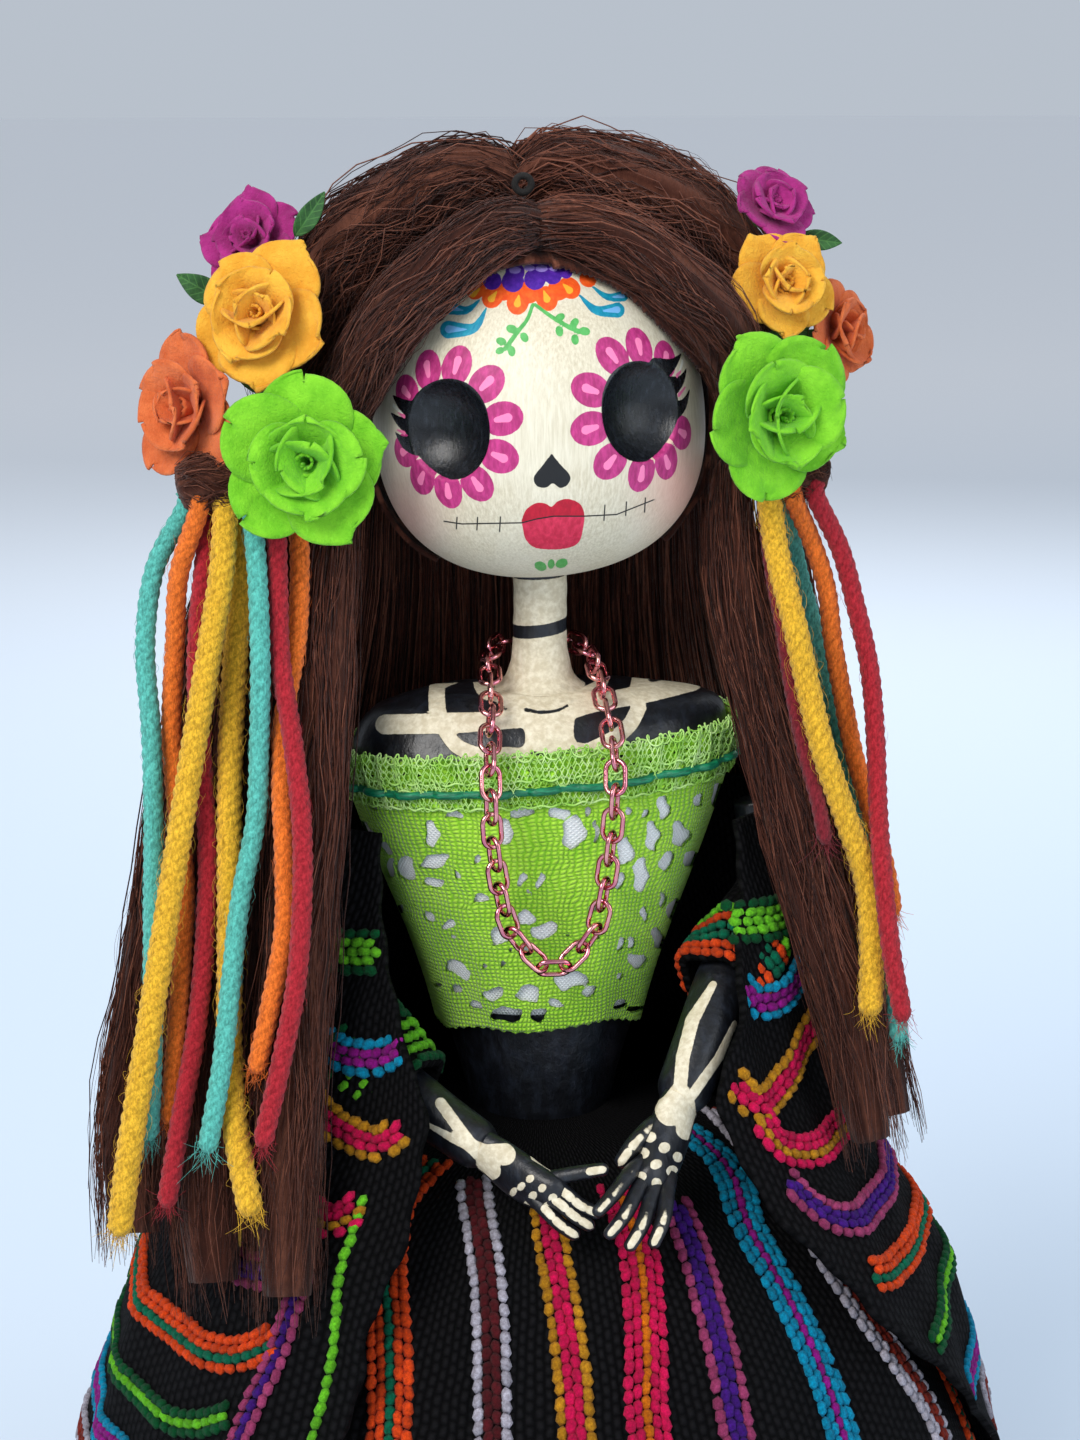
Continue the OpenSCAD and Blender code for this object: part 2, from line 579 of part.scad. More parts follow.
yarn_right = [
  [[[37.7, -16.5, 234], [39, -18.5, 224], [41, -23, 213.5], [43.5, -24, 202], [46, -26, 191], [50, -26, 179.5], [54, -27, 167.5], [54.5, -30, 156], [53.5, -34, 145]], thick_yarn_r],
  [[[42, -16.5, 234], [46, -13.5, 226], [49, -13, 217.5], [50.5, -13, 207.5], [52.5, -13, 197.5], [54.5, -14, 187.5], [57, -16.5, 178], [59, -20, 169], [60, -24, 160]], thin_yarn_r],
  [[[46, -16.5, 234], [51, -14.5, 224.5], [54, -14.5, 214.5], [56.5, -16, 203], [57, -19.5, 191], [56.5, -24.5, 179.5], [56, -31, 169], [57, -34, 156.5], [59, -36, 144.5]], thin_yarn_r],
  [[[41.7, -11.2, 234], [44.5, -8.5, 221.5], [48, -8, 209.5], [51.5, -8, 197], [54.5, -10, 184.5], [56.5, -14, 173], [58.5, -19, 161.5], [59.5, -26, 150.5], [60, -30, 138.5]], thin_yarn_r],
  [[[38, -11.2, 234], [38.5, -13, 225.5], [39, -16.5, 218.5], [40, -19, 211.5], [41, -20, 204], [42, -22, 197], [43.5, -23.5, 189.5], [45.3, -25.6, 182], [46.5, -27.4, 174.5]], 0.8 * thin_yarn_r]
];
yarn_steps = 2;
module yarn(row) {
  start = row[0][0];
  path = concat([[start.x, start.y, band_z]], curve(row[0], yarn_steps));
  n = len(path);
  tube(path, [for (p = path) row[1]], tube_sides, 1, [0, 1, 0]);
}

// ---------- necklace ----------

// The line that the links follow, from the nape round the left side, down the chest and back
chain_rows = [
  [0, 9.2, 205.2], [-6.4, 6.6, 204.9], [-9.2, -0.5, 203.8], [-10, -8, 201.4], [-10.8, -15.5, 197.6], [-11.8, -22, 192.9],
  [-12.2, -26.4, 187], [-12, -26.8, 178], [-10.6, -26.4, 168], [-8.2, -25.8, 160], [-1.2, -25.4, 153.4],
  [5.6, -25.8, 159.6], [7.6, -26.4, 168], [8.8, -26.8, 178], [9.4, -26.4, 187.4], [9.6, -22, 193.6],
  [9.4, -15.5, 198.2], [9.4, -8, 201.6], [9, -0.5, 204], [6.4, 6.6, 205], [0, 9.2, 205.2]
];
chain_line = curve(chain_rows, 6);
chain_n = len(chain_line);
function run(i) = i == 0 ? 0 : norm(chain_line[i] - chain_line[i - 1]);
chain_runs = [for (i = 0, s = 0; i < chain_n; i = i + 1, s = s + (i < chain_n ? run(i) : 0)) s];
chain_l = chain_runs[chain_n - 1];
function on_chain(s) = [for (k = [0 : 2]) lookup(s, [for (i = [0 : chain_n - 1]) [chain_runs[i], chain_line[i][k]]])];

// Pitch a little under the taut one, and an even count of links, the clasp included
link_slack = 0.7;
link_pitch = link_l - 2 * link_wire - link_slack;
link_n = 2 * ceil(chain_l / link_pitch / 2);
link_step = chain_l / link_n;
link_lean = 45;

// One oval link along +X, its flat side up
module link(l, w) {
  r = w / 2 - link_wire / 2;
  straight = l - w;
  union() {
    for (end = [-1, 1]) translate([end * straight / 2, 0, 0]) rotate([0, 0, end * 90 - 180])
      rotate_extrude(angle = 180, $fn = 48) translate([r, 0]) circle(r = link_wire / 2, $fn = 24);
    for (side = [-1, 1]) translate([-straight / 2, side * r, 0]) rotate([0, 90, 0])
      cylinder(h = straight, r = link_wire / 2, $fn = 24);
  }
}
// Puts a link at distance s along the chain: X along the line, leaning to one side and then the other
module at_link(i) {
  s = i * link_step;
  here = on_chain(s);
  along = unit(on_chain((s + 0.8) % chain_l) - on_chain((s - 0.8 + chain_l) % chain_l));
  out = unit([here.x, here.y, 5]);
  side = unit(cross(out, along));
  up = cross(along, side);
  multmatrix([[along.x, side.x, up.x, here.x], [along.y, side.y, up.y, here.y], [along.z, side.z, up.z, here.z]])
    rotate([i % 2 == 0 ? link_lean : -link_lean, 0, 0]) children();
}
module necklace_links() {
  color([0.75, 0.42, 0.42]) for (i = [1 : link_n - 1]) at_link(i) link(link_l, link_w);
}
module necklace_clasp() {
  color([0.75, 0.42, 0.42]) at_link(0) link(link_l, link_w);
}

// ---------- the nodes ----------

base_board();
skirt_form();
spine_dowel();
torso_shell();
neck_sleeve();
skull_core();
skull_shell();
bodice_lining();
bodice_lace();
lace_frill();
frill_ribbon();
skirt_cloth();
shawl_cloth();
arm(arm_rows_left, palm_left);  // arm_left
arm(arm_rows_right, palm_right);  // arm_right
arm_wire(arm_rows_left, palm_left);  // arm_wire_left
arm_wire(arm_rows_right, palm_right);  // arm_wire_right
hand(arm_rows_left, palm_left, fingers_left);  // hand_left
hand(arm_rows_right, palm_right, fingers_right);  // hand_right
hair_back();
hair_puff(1);  // hair_puff_left
hair_puff(-1);  // hair_puff_right
hair_band(-1);  // hair_band_left
hair_band(1);  // hair_band_right
hair_lock(lock_rows_left[0]);  // hair_lock_left_1
hair_lock(lock_rows_left[1]);  // hair_lock_left_2
hair_lock(lock_rows_left[2]);  // hair_lock_left_3
hair_lock(lock_rows_right[0]);  // hair_lock_right_1
hair_lock(lock_rows_right[1]);  // hair_lock_right_2
parting_thread();
color([0.4, 0.85, 0.2]) rose(rose_rows_left[0]);  // rose_left_green
color([0.9, 0.4, 0.15]) rose(rose_rows_left[1]);  // rose_left_orange
color([0.98, 0.7, 0.15]) rose(rose_rows_left[2]);  // rose_left_yellow
color([0.7, 0.12, 0.45]) rose(rose_rows_left[3]);  // rose_left_magenta
color([0.4, 0.85, 0.2]) rose(rose_rows_right[0]);  // rose_right_green
color([0.9, 0.4, 0.15]) rose(rose_rows_right[1]);  // rose_right_orange
color([0.98, 0.7, 0.15]) rose(rose_rows_right[2]);  // rose_right_yellow
color([0.7, 0.12, 0.45]) rose(rose_rows_right[3]);  // rose_right_magenta
leaves(leaf_rows_left);  // rose_leaves_left
leaves(leaf_rows_right);  // rose_leaves_right
stems(rose_rows_left);  // rose_stems_left
stems(rose_rows_right);  // rose_stems_right
yarn_band(yarn_band_left_box[0], yarn_band_left_box[1]);  // yarn_band_left
yarn_band(yarn_band_right_box[0], yarn_band_right_box[1]);  // yarn_band_right
color([0.95, 0.75, 0.1]) yarn(yarn_left[0]);  // yarn_left_1
color([0.95, 0.75, 0.1]) yarn(yarn_left[1]);  // yarn_left_2
color([0.3, 0.75, 0.7]) yarn(yarn_left[2]);  // yarn_left_3
color([0.95, 0.45, 0.1]) yarn(yarn_left[3]);  // yarn_left_4
color([0.7, 0.05, 0.12]) yarn(yarn_left[4]);  // yarn_left_5
color([0.3, 0.75, 0.7]) yarn(yarn_left[5]);  // yarn_left_6
color([0.7, 0.05, 0.12]) yarn(yarn_left[6]);  // yarn_left_7
color([0.95, 0.45, 0.1]) yarn(yarn_left[7]);  // yarn_left_8
color([0.95, 0.75, 0.1]) yarn(yarn_right[0]);  // yarn_right_1
color([0.95, 0.45, 0.1]) yarn(yarn_right[1]);  // yarn_right_2
color([0.7, 0.05, 0.12]) yarn(yarn_right[2]);  // yarn_right_3
color([0.3, 0.75, 0.7]) yarn(yarn_right[3]);  // yarn_right_4
color([0.5, 0.04, 0.1]) yarn(yarn_right[4]);  // yarn_right_5
necklace_links();
necklace_clasp();
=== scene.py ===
# %% [markdown]
# # A papier-mache skeleton lady
# The real figure is built up in layers: a painted paper shell, then cloth, lace, wool, yarn, paper roses
# and a chain.
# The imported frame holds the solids. Each cell below adds one layer of looks, in millimetres, as surfaces
# worked out with numpy.

import bpy
import numpy as np
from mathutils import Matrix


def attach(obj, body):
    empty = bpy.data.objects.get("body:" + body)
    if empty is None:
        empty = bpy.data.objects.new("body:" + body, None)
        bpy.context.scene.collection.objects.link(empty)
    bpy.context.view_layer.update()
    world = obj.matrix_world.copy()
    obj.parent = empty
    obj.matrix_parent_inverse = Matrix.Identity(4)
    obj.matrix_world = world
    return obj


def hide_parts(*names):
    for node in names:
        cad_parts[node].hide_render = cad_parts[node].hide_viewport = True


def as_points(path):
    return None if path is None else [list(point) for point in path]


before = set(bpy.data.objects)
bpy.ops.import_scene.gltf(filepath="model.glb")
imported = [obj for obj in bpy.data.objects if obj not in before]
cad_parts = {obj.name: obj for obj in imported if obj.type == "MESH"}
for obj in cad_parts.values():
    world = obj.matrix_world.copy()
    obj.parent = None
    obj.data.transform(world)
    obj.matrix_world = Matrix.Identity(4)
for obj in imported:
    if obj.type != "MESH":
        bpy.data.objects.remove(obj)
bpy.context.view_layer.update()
MM = 0.001
rng = np.random.default_rng(11)

# %% [markdown]
# ## The camera and the light
# A craft figure is best seen from a little above and a little to one side, with a long lens, so its face
# isn't stretched.
# The eye's place is worked out once, because the painter's chart of the face below is drawn from the same
# spot.
# The light is a large soft window high on the left and a weaker one on the right; the floor is pale blue near
# the figure and painted lighter far away, up to white, a painted light that meets the sky.

# %% Camera
VIEW_TURN, VIEW_RISE = np.radians(-8), np.radians(13)
VIEW_DISTANCE, VIEW_TARGET = 520.0, np.array([0, 0, 192.0])
LENS, SENSOR = 72.2, 36.0
view_back = np.array(
    [np.sin(VIEW_TURN) * np.cos(VIEW_RISE), -np.cos(VIEW_TURN) * np.cos(VIEW_RISE), np.sin(VIEW_RISE)])
view_right = np.array([np.cos(VIEW_TURN), np.sin(VIEW_TURN), 0])
view_up = np.cross(view_back, view_right)
eye = VIEW_TARGET + VIEW_DISTANCE * view_back

camera = bpy.data.objects.new("camera", bpy.data.cameras.new("camera"))
camera.data.lens, camera.data.sensor_width = LENS, SENSOR
camera.data.clip_start, camera.data.clip_end = 0.01, 50
camera.matrix_world = np.r_[np.c_[view_right, view_up, view_back, eye * MM], [[0, 0, 0, 1]]].T
bpy.context.scene.collection.objects.link(camera)
bpy.context.scene.camera = camera
print("camera at", (eye * MM).round(3))


# %% Light and floor
def add_light(name, at, size, power, colour):
    """A square area light at a point in metres, turned to the middle of the figure."""
    lamp = bpy.data.lights.new(name, "AREA")
    lamp.size, lamp.energy, lamp.color = size, power, colour
    lit = bpy.data.objects.new(name, lamp)
    back = np.array(at) - [0, 0, 0.18]
    back = back / np.linalg.norm(back)
    side = np.cross([0, 0, 1], back)
    side = side / np.linalg.norm(side)
    lit.matrix_world = np.r_[np.c_[side, np.cross(back, side), back, at], [[0, 0, 0, 1]]].T
    bpy.context.scene.collection.objects.link(lit)


add_light("window", (-0.75, -0.85, 1.05), 0.7, 17, (1.0, 0.97, 0.93))
add_light("fill", (0.95, -0.8, 0.55), 1.0, 6, (0.9, 0.95, 1.0))
add_light("rim", (0.3, 1.0, 0.9), 0.8, 7, (0.95, 0.97, 1.0))
sky = bpy.data.worlds.new("sky")
sky.use_nodes = True
sky.node_tree.nodes["Background"].inputs["Color"].default_value = (0.78, 0.86, 0.97, 1)
sky.node_tree.nodes["Background"].inputs["Strength"].default_value = 0.62
bpy.context.scene.world = sky

# %% [markdown]
# ## Helpers for meshes
# Every new surface is a grid of points or a bundle of tubes. The helpers keep the same order of points, so
# that a face's
# corners run anticlockwise as seen from outside, and put whole arrays into Blender at once.


# %% Grids and pieces
def grid_faces(rows, cols, wrap=False):
    """Quads of a grid stored row by row; their outside is the side given by (along a row) x (row to row)."""
    i = np.arange(rows - 1)[:, None] * cols
    j = np.arange(cols if wrap else cols - 1)[None, :]
    a, b = i + j, i + (j + 1) % cols
    return np.stack([a, b, b + cols, a + cols], -1).reshape(-1, 4)


def gather(parts):
    """Joins (points, faces) pairs into one pair; faces may be one index array or a list of them."""
    starts = np.cumsum([0] + [len(p) for p, _ in parts])
    widths = {}
    for (_, faces), start in zip(parts, starts):
        for f in faces if isinstance(faces, list) else [faces]:
            widths.setdefault(f.shape[1], []).append(f + start)
    return np.concatenate([p for p, _ in parts]), [np.concatenate(f) for f in widths.values()]


def make_piece(name, points, faces, material, body="figure", uv=None, fields=None, tint=None, smooth=True):
    """A mesh object from points in millimetres. fields are numbers for each point, tint is a colour for
    each point."""
    faces = faces if isinstance(faces, list) else [faces]
    widths = np.concatenate([np.full(len(f), f.shape[1]) for f in faces])
    corners = np.concatenate([f.ravel() for f in faces]).astype(np.int32)
    mesh = bpy.data.meshes.new(name)
    mesh.vertices.add(len(points))
    mesh.vertices.foreach_set("co", (np.asarray(points) * MM).ravel())
    mesh.loops.add(len(corners))
    mesh.loops.foreach_set("vertex_index", corners)
    mesh.polygons.add(len(widths))
    mesh.polygons.foreach_set("loop_start", (np.cumsum(widths) - widths).astype(np.int32))
    mesh.polygons.foreach_set("use_smooth", np.full(len(widths), smooth))
    if uv is not None:
        mesh.uv_layers.new(name="cloth").data.foreach_set("uv", np.asarray(uv)[corners].ravel())
    for key, values in (fields or {}).items():
        mesh.attributes.new(key, "FLOAT", "POINT").data.foreach_set(
            "value", np.asarray(values, float).ravel())
    if tint is not None:
        rgba = np.c_[tint, np.ones(len(tint))]
        mesh.attributes.new("tint", "FLOAT_COLOR", "POINT").data.foreach_set("color", rgba.ravel())
    mesh.update(calc_edges=True)
    mesh.validate()
    piece = bpy.data.objects.new(name, mesh)
    bpy.context.scene.collection.objects.link(piece)
    mesh.materials.append(material)
    if body:
        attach(piece, body)
    print(name, len(points), "points", int((widths - 2).sum()), "triangles")
    return piece


def thicken(piece, millimetres, offset=-1.0, even=True):
    """Gives an open sheet its wall."""
    wall = piece.modifiers.new("wall", "SOLIDIFY")
    wall.thickness, wall.offset, wall.use_even_offset = millimetres * MM, offset, even


# %% Paths and tubes
def unit(v):
    """Vectors cut to length one along the last axis."""
    v = np.asarray(v, float)
    return v / np.maximum(np.linalg.norm(v, axis=-1, keepdims=True), 1e-9)


def spline(points, n):
    """A Catmull-Rom curve through the points, n evenly spaced places along it."""
    p = np.asarray(points, float)
    ends = np.concatenate([p[:1], p, p[-1:]])
    t = np.linspace(0, 1, 25)[:-1, None, None]
    a, b, c, d = ends[:-3], ends[1:-2], ends[2:-1], ends[3:]
    fine = 0.5 * (2 * b + (c - a) * t + (2 * a - 5 * b + 4 * c - d) * t**2 + (3 * b - a - 3 * c + d) * t**3)
    fine = np.concatenate([fine.transpose(1, 0, 2).reshape(-1, p.shape[1]), p[-1:]])
    run = np.r_[0, np.cumsum(np.linalg.norm(np.diff(fine[:, :3], axis=0), axis=1))]
    at = np.linspace(0, run[-1], n)
    return np.stack([np.interp(at, run, fine[:, k]) for k in range(p.shape[1])], -1)


def frames(paths, up):
    """Side and other directions square to each path, from a direction that it never follows."""
    along = unit(np.gradient(paths, axis=-2))
    side = unit(np.cross(along, up))
    return side, np.cross(along, side)


def tubes(paths, radii, sides=4, up=(0.0, 1.0, 0.0), flat=1.0, outline=None):
    """Capped tubes round n paths of k points: a point is path + radius (cos a side + flat sin a other).
    outline multiplies the radius for each place and side."""
    paths = np.asarray(paths, float)
    n, k, _ = paths.shape
    side, other = frames(paths, up)
    a = np.arange(sides) * 2 * np.pi / sides
    r = np.broadcast_to(np.asarray(radii, float), (n, k))[:, :, None, None]
    if outline is not None:
        r = r * np.asarray(outline)[..., None]
    ring = r * (np.cos(a)[:, None] * side[:, :, None] + flat * np.sin(a)[:, None] * other[:, :, None])
    points = (paths[:, :, None] + ring).reshape(-1, 3)
    first = (np.arange(n) * k * sides)[:, None]
    walls = (first[:, :, None] + grid_faces(k, sides, wrap=True)[None]).reshape(-1, 4)
    caps = np.concatenate([first + np.arange(sides)[::-1], first + (k - 1) * sides + np.arange(sides)])
    return points, [walls, caps]


def per_tube(values, k, sides):
    """Repeats one value for each tube over all its points."""
    return np.repeat(np.asarray(values), k * sides, axis=0)


# %% [markdown]
# ## Helpers for materials
# A material is a small sum written in Python. A Wire holds what comes out of a node, and adding or
# multiplying wires adds
# the Math nodes. Everything else comes from one method, new, which takes a node's type, its settings and
# its sockets.


# %% Wires
class Wire:
    """What comes out of one node's socket."""

    def __init__(self, tree, socket=None):
        self.tree, self.socket = tree, socket

    def new(self, kind, settings=None, sockets=None, out=0):
        """A node of that kind: settings first, then values or links for its sockets; returns its output
        out."""
        node = self.tree.nodes.new("ShaderNode" + kind)
        for key, value in (settings or {}).items():
            if key == "stops":
                while len(node.color_ramp.elements) < len(value):
                    node.color_ramp.elements.new(0.5)
                for stop, (place, colour) in zip(node.color_ramp.elements, value):
                    stop.position, stop.color = place, (*colour, 1)
            else:
                setattr(node, key, value)
        for key, value in (sockets or {}).items():
            if isinstance(value, Wire):
                self.tree.links.new(value.socket, node.inputs[key])
            elif isinstance(value, tuple) and node.inputs[key].type == "RGBA":
                node.inputs[key].default_value = (*value, 1)
            else:
                node.inputs[key].default_value = value
        return Wire(self.tree, node.outputs[out])

    def math(self, operation, *values):
        return self.new("Math", {"operation": operation}, dict(enumerate(values)))

    def __add__(self, other):
        return self.math("ADD", self, other)

    def __sub__(self, other):
        return self.math("SUBTRACT", self, other)

    def __rsub__(self, other):
        return self.math("SUBTRACT", other, self)

    def __mul__(self, other):
        return self.math("MULTIPLY", self, other)

    def __truediv__(self, other):
        return self.math("DIVIDE", self, other)

    __radd__, __rmul__ = __add__, __mul__

    def sin(self):
        return self.math("SINE", self)

    def abs(self):
        return self.math("ABSOLUTE", self)

    def step(self, low, high):
        """0 below low, 1 above high, smooth between."""
        return self.new("MapRange", {"interpolation_type": "SMOOTHSTEP"}, {0: self, 1: low, 2: high})

    def mix(self, a, b):
        """Colour a where this is 0, colour b where it is 1."""
        return self.new("Mix", {"data_type": "RGBA"}, {0: self, 6: a, 7: b}, 2)

    def noise(self, scale, detail=3.0, rough=0.55, stretch=(1, 1, 1)):
        """Noise with scale features to a millimetre on this vector, stretched by the three factors."""
        spread = self.new("Mapping", {}, {"Vector": self, "Scale": stretch})
        return self.new(
            "TexNoise", {}, {"Vector": spread, "Scale": scale / MM, "Detail": detail, "Roughness": rough})

    def field(self, name):
        return self.new("Attribute", {"attribute_name": name}, {}, "Fac")

    def tint(self):
        return self.new("Attribute", {"attribute_name": "tint"}, {}, "Color")

    def place(self):
        return self.new("TexCoord", {}, {}, "Object")

    def uv(self):
        return self.new("TexCoord", {}, {}, "UV")


def finish(name, base, rough=0.7, bump=None, depth=0.1, **constants):
    """A material. base, rough and bump are values or functions of a fresh wire; depth is the bump's height in
    millimetres; other words are sockets of the shader that stay the same all over."""
    material = bpy.data.materials.new(name)
    material.use_nodes = True
    tree = material.node_tree
    shader = tree.nodes["Principled BSDF"]
    fresh = Wire(tree)
    varying = {"Base Color": base, "Roughness": rough}
    if bump is not None:
        varying["Normal"] = lambda w: w.new(
            "Bump", {}, {"Height": bump(w), "Distance": depth * MM, "Strength": 1.0})
    for key, value in varying.items():
        value = value(fresh) if callable(value) else value
        if isinstance(value, Wire):
            tree.links.new(value.socket, shader.inputs[key])
        else:
            shader.inputs[key].default_value = (*value, 1) if isinstance(value, tuple) else value
    for key, value in constants.items():
        socket = shader.inputs[key.replace("_", " ")]
        socket.default_value = (*value, 1) if isinstance(value, tuple) and socket.type == "RGBA" else value
    return material


# %% The floor
# Pale blue under the figure, painted lighter to white far off so that it meets the sky's brightness: painted
# light.
floor_paint = finish(
    "floor_paint",
    lambda w: w.new("SeparateXYZ", {}, {0: w.place()}, 1).abs().step(0.3, 2.4).mix(
        (0.62, 0.71, 0.81), (0.97, 0.97, 0.98)),
    0.95, Specular_IOR_Level=0.1)
far = np.array([[-14, -14, 0], [14, -14, 0], [14, 14, 0], [-14, 14, 0]]) * 1000.0
floor = make_piece("floor", far, np.array([[0, 1, 2, 3]]), floor_paint, body=None)


# %% Closed surfaces
def close_rows(a):
    """Flattens a grid of rows whose first and last rows are one point each."""
    return np.concatenate([a[:1, 0], a[1:-1].reshape(-1, *a.shape[2:]), a[-1:, 0]])


def closed_faces(rows, cols):
    """Faces of a surface closed at both poles and round its rows, in the order of close_rows."""
    rings = (rows - 2) * cols
    j = np.arange(cols)
    low, high = 1 + j, 1 + (j + 1) % cols
    last = rings - cols
    return [
        grid_faces(rows - 2, cols, wrap=True) + 1,
        np.concatenate(
            [np.stack([0 * j, high, low], -1), np.stack([low + last, high + last, 0 * j + rings + 1], -1)])]


bpy.context.scene.view_settings.view_transform = "Standard"

# %% [markdown]
# ## Yarn streamers
# Each streamer is thick plied yarn, sewn to a felt strip and hanging in front of the hair. Four soft plies
# wind round each other, so the tube's outline is the union of four circles, turned as it goes along.

# %% Yarn routes
THICK, THIN = 2.3, 1.8
BAND_Z = 237.0
YELLOW, AQUA, ORANGE, RED, MAROON = "yarn_yellow", "yarn_aqua", "yarn_orange", "yarn_red", "yarn_maroon"
YARNS = {
    "yarn_left_1": (
        THICK, YELLOW,
        [
            [-56, -18.5, 234], [-57, -20.5, 223.5], [-60, -22.5, 207.5], [-63, -24.5, 192],
            [-66, -27.5, 176.5], [-69, -33, 161.5], [-72, -39, 147], [-75, -43, 132], [-77.5, -44, 116]]),
    "yarn_left_2": (
        THICK, YELLOW,
        [
            [-53.5, -13, 234], [-54, -14.5, 218], [-55.5, -17.5, 201], [-56.5, -22, 187], [-57, -27, 173],
            [-57.5, -31, 159], [-58, -36.5, 146], [-57.5, -44, 133], [-55.5, -51, 121]]),
    "yarn_left_3": (
        THIN, AQUA,
        [
            [-62.5, -13, 234], [-68, -13, 223.5], [-70, -14.5, 210.5], [-69.5, -17.5, 197],
            [-69.5, -20, 183], [-70, -24, 169], [-70.5, -30, 156], [-71, -35, 143.5], [-72, -39, 130.5]]),
    "yarn_left_4": (
        THIN, ORANGE,
        [
            [-60.5, -18.3, 234], [-64, -16.5, 223], [-65, -15, 210.5], [-66, -15.5, 196.5],
            [-65.5, -17.5, 183], [-64.5, -21.5, 170], [-65.5, -27, 157.5], [-67, -33, 145],
            [-68.5, -37, 132.5]]),
    "yarn_left_5": (
        THIN, RED,
        [
            [-58, -13, 234], [-60, -16.5, 222.5], [-61.5, -18, 207], [-61, -19.5, 191.5],
            [-60.5, -23, 176.5], [-61.5, -28, 162], [-63.5, -34, 148], [-66.5, -40, 135], [-69.5, -43, 120]],
    ),
    "yarn_left_6": (
        THIN, AQUA,
        [
            [-51.5, -18.5, 234], [-51, -22, 223.5], [-51, -26, 210], [-51.5, -27, 196.5], [-52.5, -29, 183],
            [-55.5, -32.5, 170], [-57.5, -37, 157.5], [-59.5, -43, 145], [-62.5, -47, 131]]),
    "yarn_left_7": (
        THIN, RED,
        [
            [-47.5, -18.5, 234], [-47.5, -20.5, 222.5], [-47.5, -24, 209.5], [-46, -29, 196.5],
            [-45, -33.5, 183.5], [-45.5, -39, 171], [-47, -42, 157.5], [-50, -45, 144.5],
            [-53.5, -48.5, 132]]),
    "yarn_left_8": (
        THIN, ORANGE,
        [
            [-43.5, -13, 234], [-43.5, -15.5, 223.5], [-44.5, -19.5, 211.5], [-47, -23.5, 200],
            [-48, -28, 188.5], [-48, -33, 177.5], [-48.5, -37, 166], [-51, -40, 154.5], [-54, -43, 143]]),
    "yarn_right_1": (
        THICK, YELLOW,
        [
            [37.7, -16.5, 234], [39, -18.5, 224], [41, -23, 213.5], [43.5, -24, 202], [46, -26, 191],
            [50, -26, 179.5], [54, -27, 167.5], [54.5, -30, 156], [53.5, -34, 145]]),
    "yarn_right_2": (
        THIN, ORANGE,
        [
            [42, -16.5, 234], [46, -13.5, 226], [49, -13, 217.5], [50.5, -13, 207.5], [52.5, -13, 197.5],
            [54.5, -14, 187.5], [57, -16.5, 178], [59, -20, 169], [60, -24, 160]]),
    "yarn_right_3": (
        THIN, RED,
        [
            [46, -16.5, 234], [51, -14.5, 224.5], [54, -14.5, 214.5], [56.5, -16, 203], [57, -19.5, 191],
            [56.5, -24.5, 179.5], [56, -31, 169], [57, -34, 156.5], [59, -36, 144.5]]),
    "yarn_right_4": (
        THIN, AQUA,
        [
            [41.7, -11.2, 234], [44.5, -8.5, 221.5], [48, -8, 209.5], [51.5, -8, 197], [54.5, -10, 184.5],
            [56.5, -14, 173], [58.5, -19, 161.5], [59.5, -26, 150.5], [60, -30, 138.5]]),
    "yarn_right_5": (
        0.8 * THIN, MAROON,
        [
            [38, -11.2, 234], [38.5, -13, 225.5], [39, -16.5, 218.5], [40, -19, 211.5], [41, -20, 204],
            [42, -22, 197], [43.5, -23.5, 189.5], [45.3, -25.6, 182], [46.5, -27.4, 174.5]]),
}

# %% Yarn materials
WOOL = {
    YELLOW: (0.84, 0.46, 0.02), AQUA: (0.1, 0.5, 0.42), ORANGE: (0.88, 0.17, 0.01),
    RED: (0.42, 0.008, 0.02), MAROON: (0.2, 0.005, 0.015)}


def wool(name, colour):
    """Soft yarn: fine fibres across the plies, paler where fibres stand up; painted shade between the plies.
    """

    def base(w):
        fibres = w.place().noise(2.2, 4, 0.7, (1, 1, 0.45))
        pale = tuple(min(1.0, 1.2 * c + 0.012) for c in colour)
        dark = tuple(0.55 * c for c in colour)
        # Painted shade: in the grooves between plies the colour drops to three tenths.
        plies = w.field("ply").step(0.66, 0.92)
        return plies.mix(tuple(0.3 * c for c in colour), fibres.step(0.3, 0.72).mix(dark, pale))

    return finish(name, base, 0.95, lambda w: w.place().noise(3.0, 4, 0.7, (1, 1, 0.4)), 0.25,
                  Sheen_Weight=0.12, Sheen_Roughness=0.6, Specular_IOR_Level=0.15)


wools = {name: wool(name, colour) for name, colour in WOOL.items()}


# %% Yarn tubes
def plied(paths_run, plies=4, pitch=8.5, spread=0.45, sides=24):
    """The outline of plies circles, each spread of the radius off the middle, turned once in every pitch."""
    a = np.arange(sides) * 2 * np.pi / sides - (2 * np.pi / pitch) * paths_run[:, None]
    half = np.pi / plies
    off = (a + half) % (2 * half) - half
    ply = 1 - spread
    return spread * np.cos(off) + np.sqrt(np.maximum(ply**2 - (spread * np.sin(off)) ** 2, 0.01))


yarn_lines = {}
for name, (radius, colour, route) in YARNS.items():
    route = np.array([[route[0][0], route[0][1], BAND_Z], *route])
    length = np.linalg.norm(np.diff(spline(route, 200), axis=0), axis=1).sum()
    line = spline(route, int(length / 0.75))
    run = np.linspace(0, length, len(line))
    taper = np.clip((length - run) / 1.2, 0.25, 1) ** 0.5
    twist = plied(run)
    points, faces = tubes(line[None], radius * taper, 24, outline=twist[None])
    # The outline's dips between plies become the field that paints their shade.
    groove_shade = np.ones(len(points))
    groove_shade[: twist.size] = twist.ravel()
    piece = make_piece(name + "_strand", points, faces, wools[colour], fields={"ply": groove_shade})
    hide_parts(name)
    marks = line[::8] if (len(line) - 1) % 8 == 0 else np.r_[line[::8], line[-1:]]
    length * MM
    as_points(marks * MM)
    yarn_lines[name] = (line, radius, colour)

# %% [markdown]
# Yarn is never smooth: loose fibres curl out of it, most of all at the cut ends. Each fibre is a tube of
# three sides that
# starts inside the yarn and bows outwards.


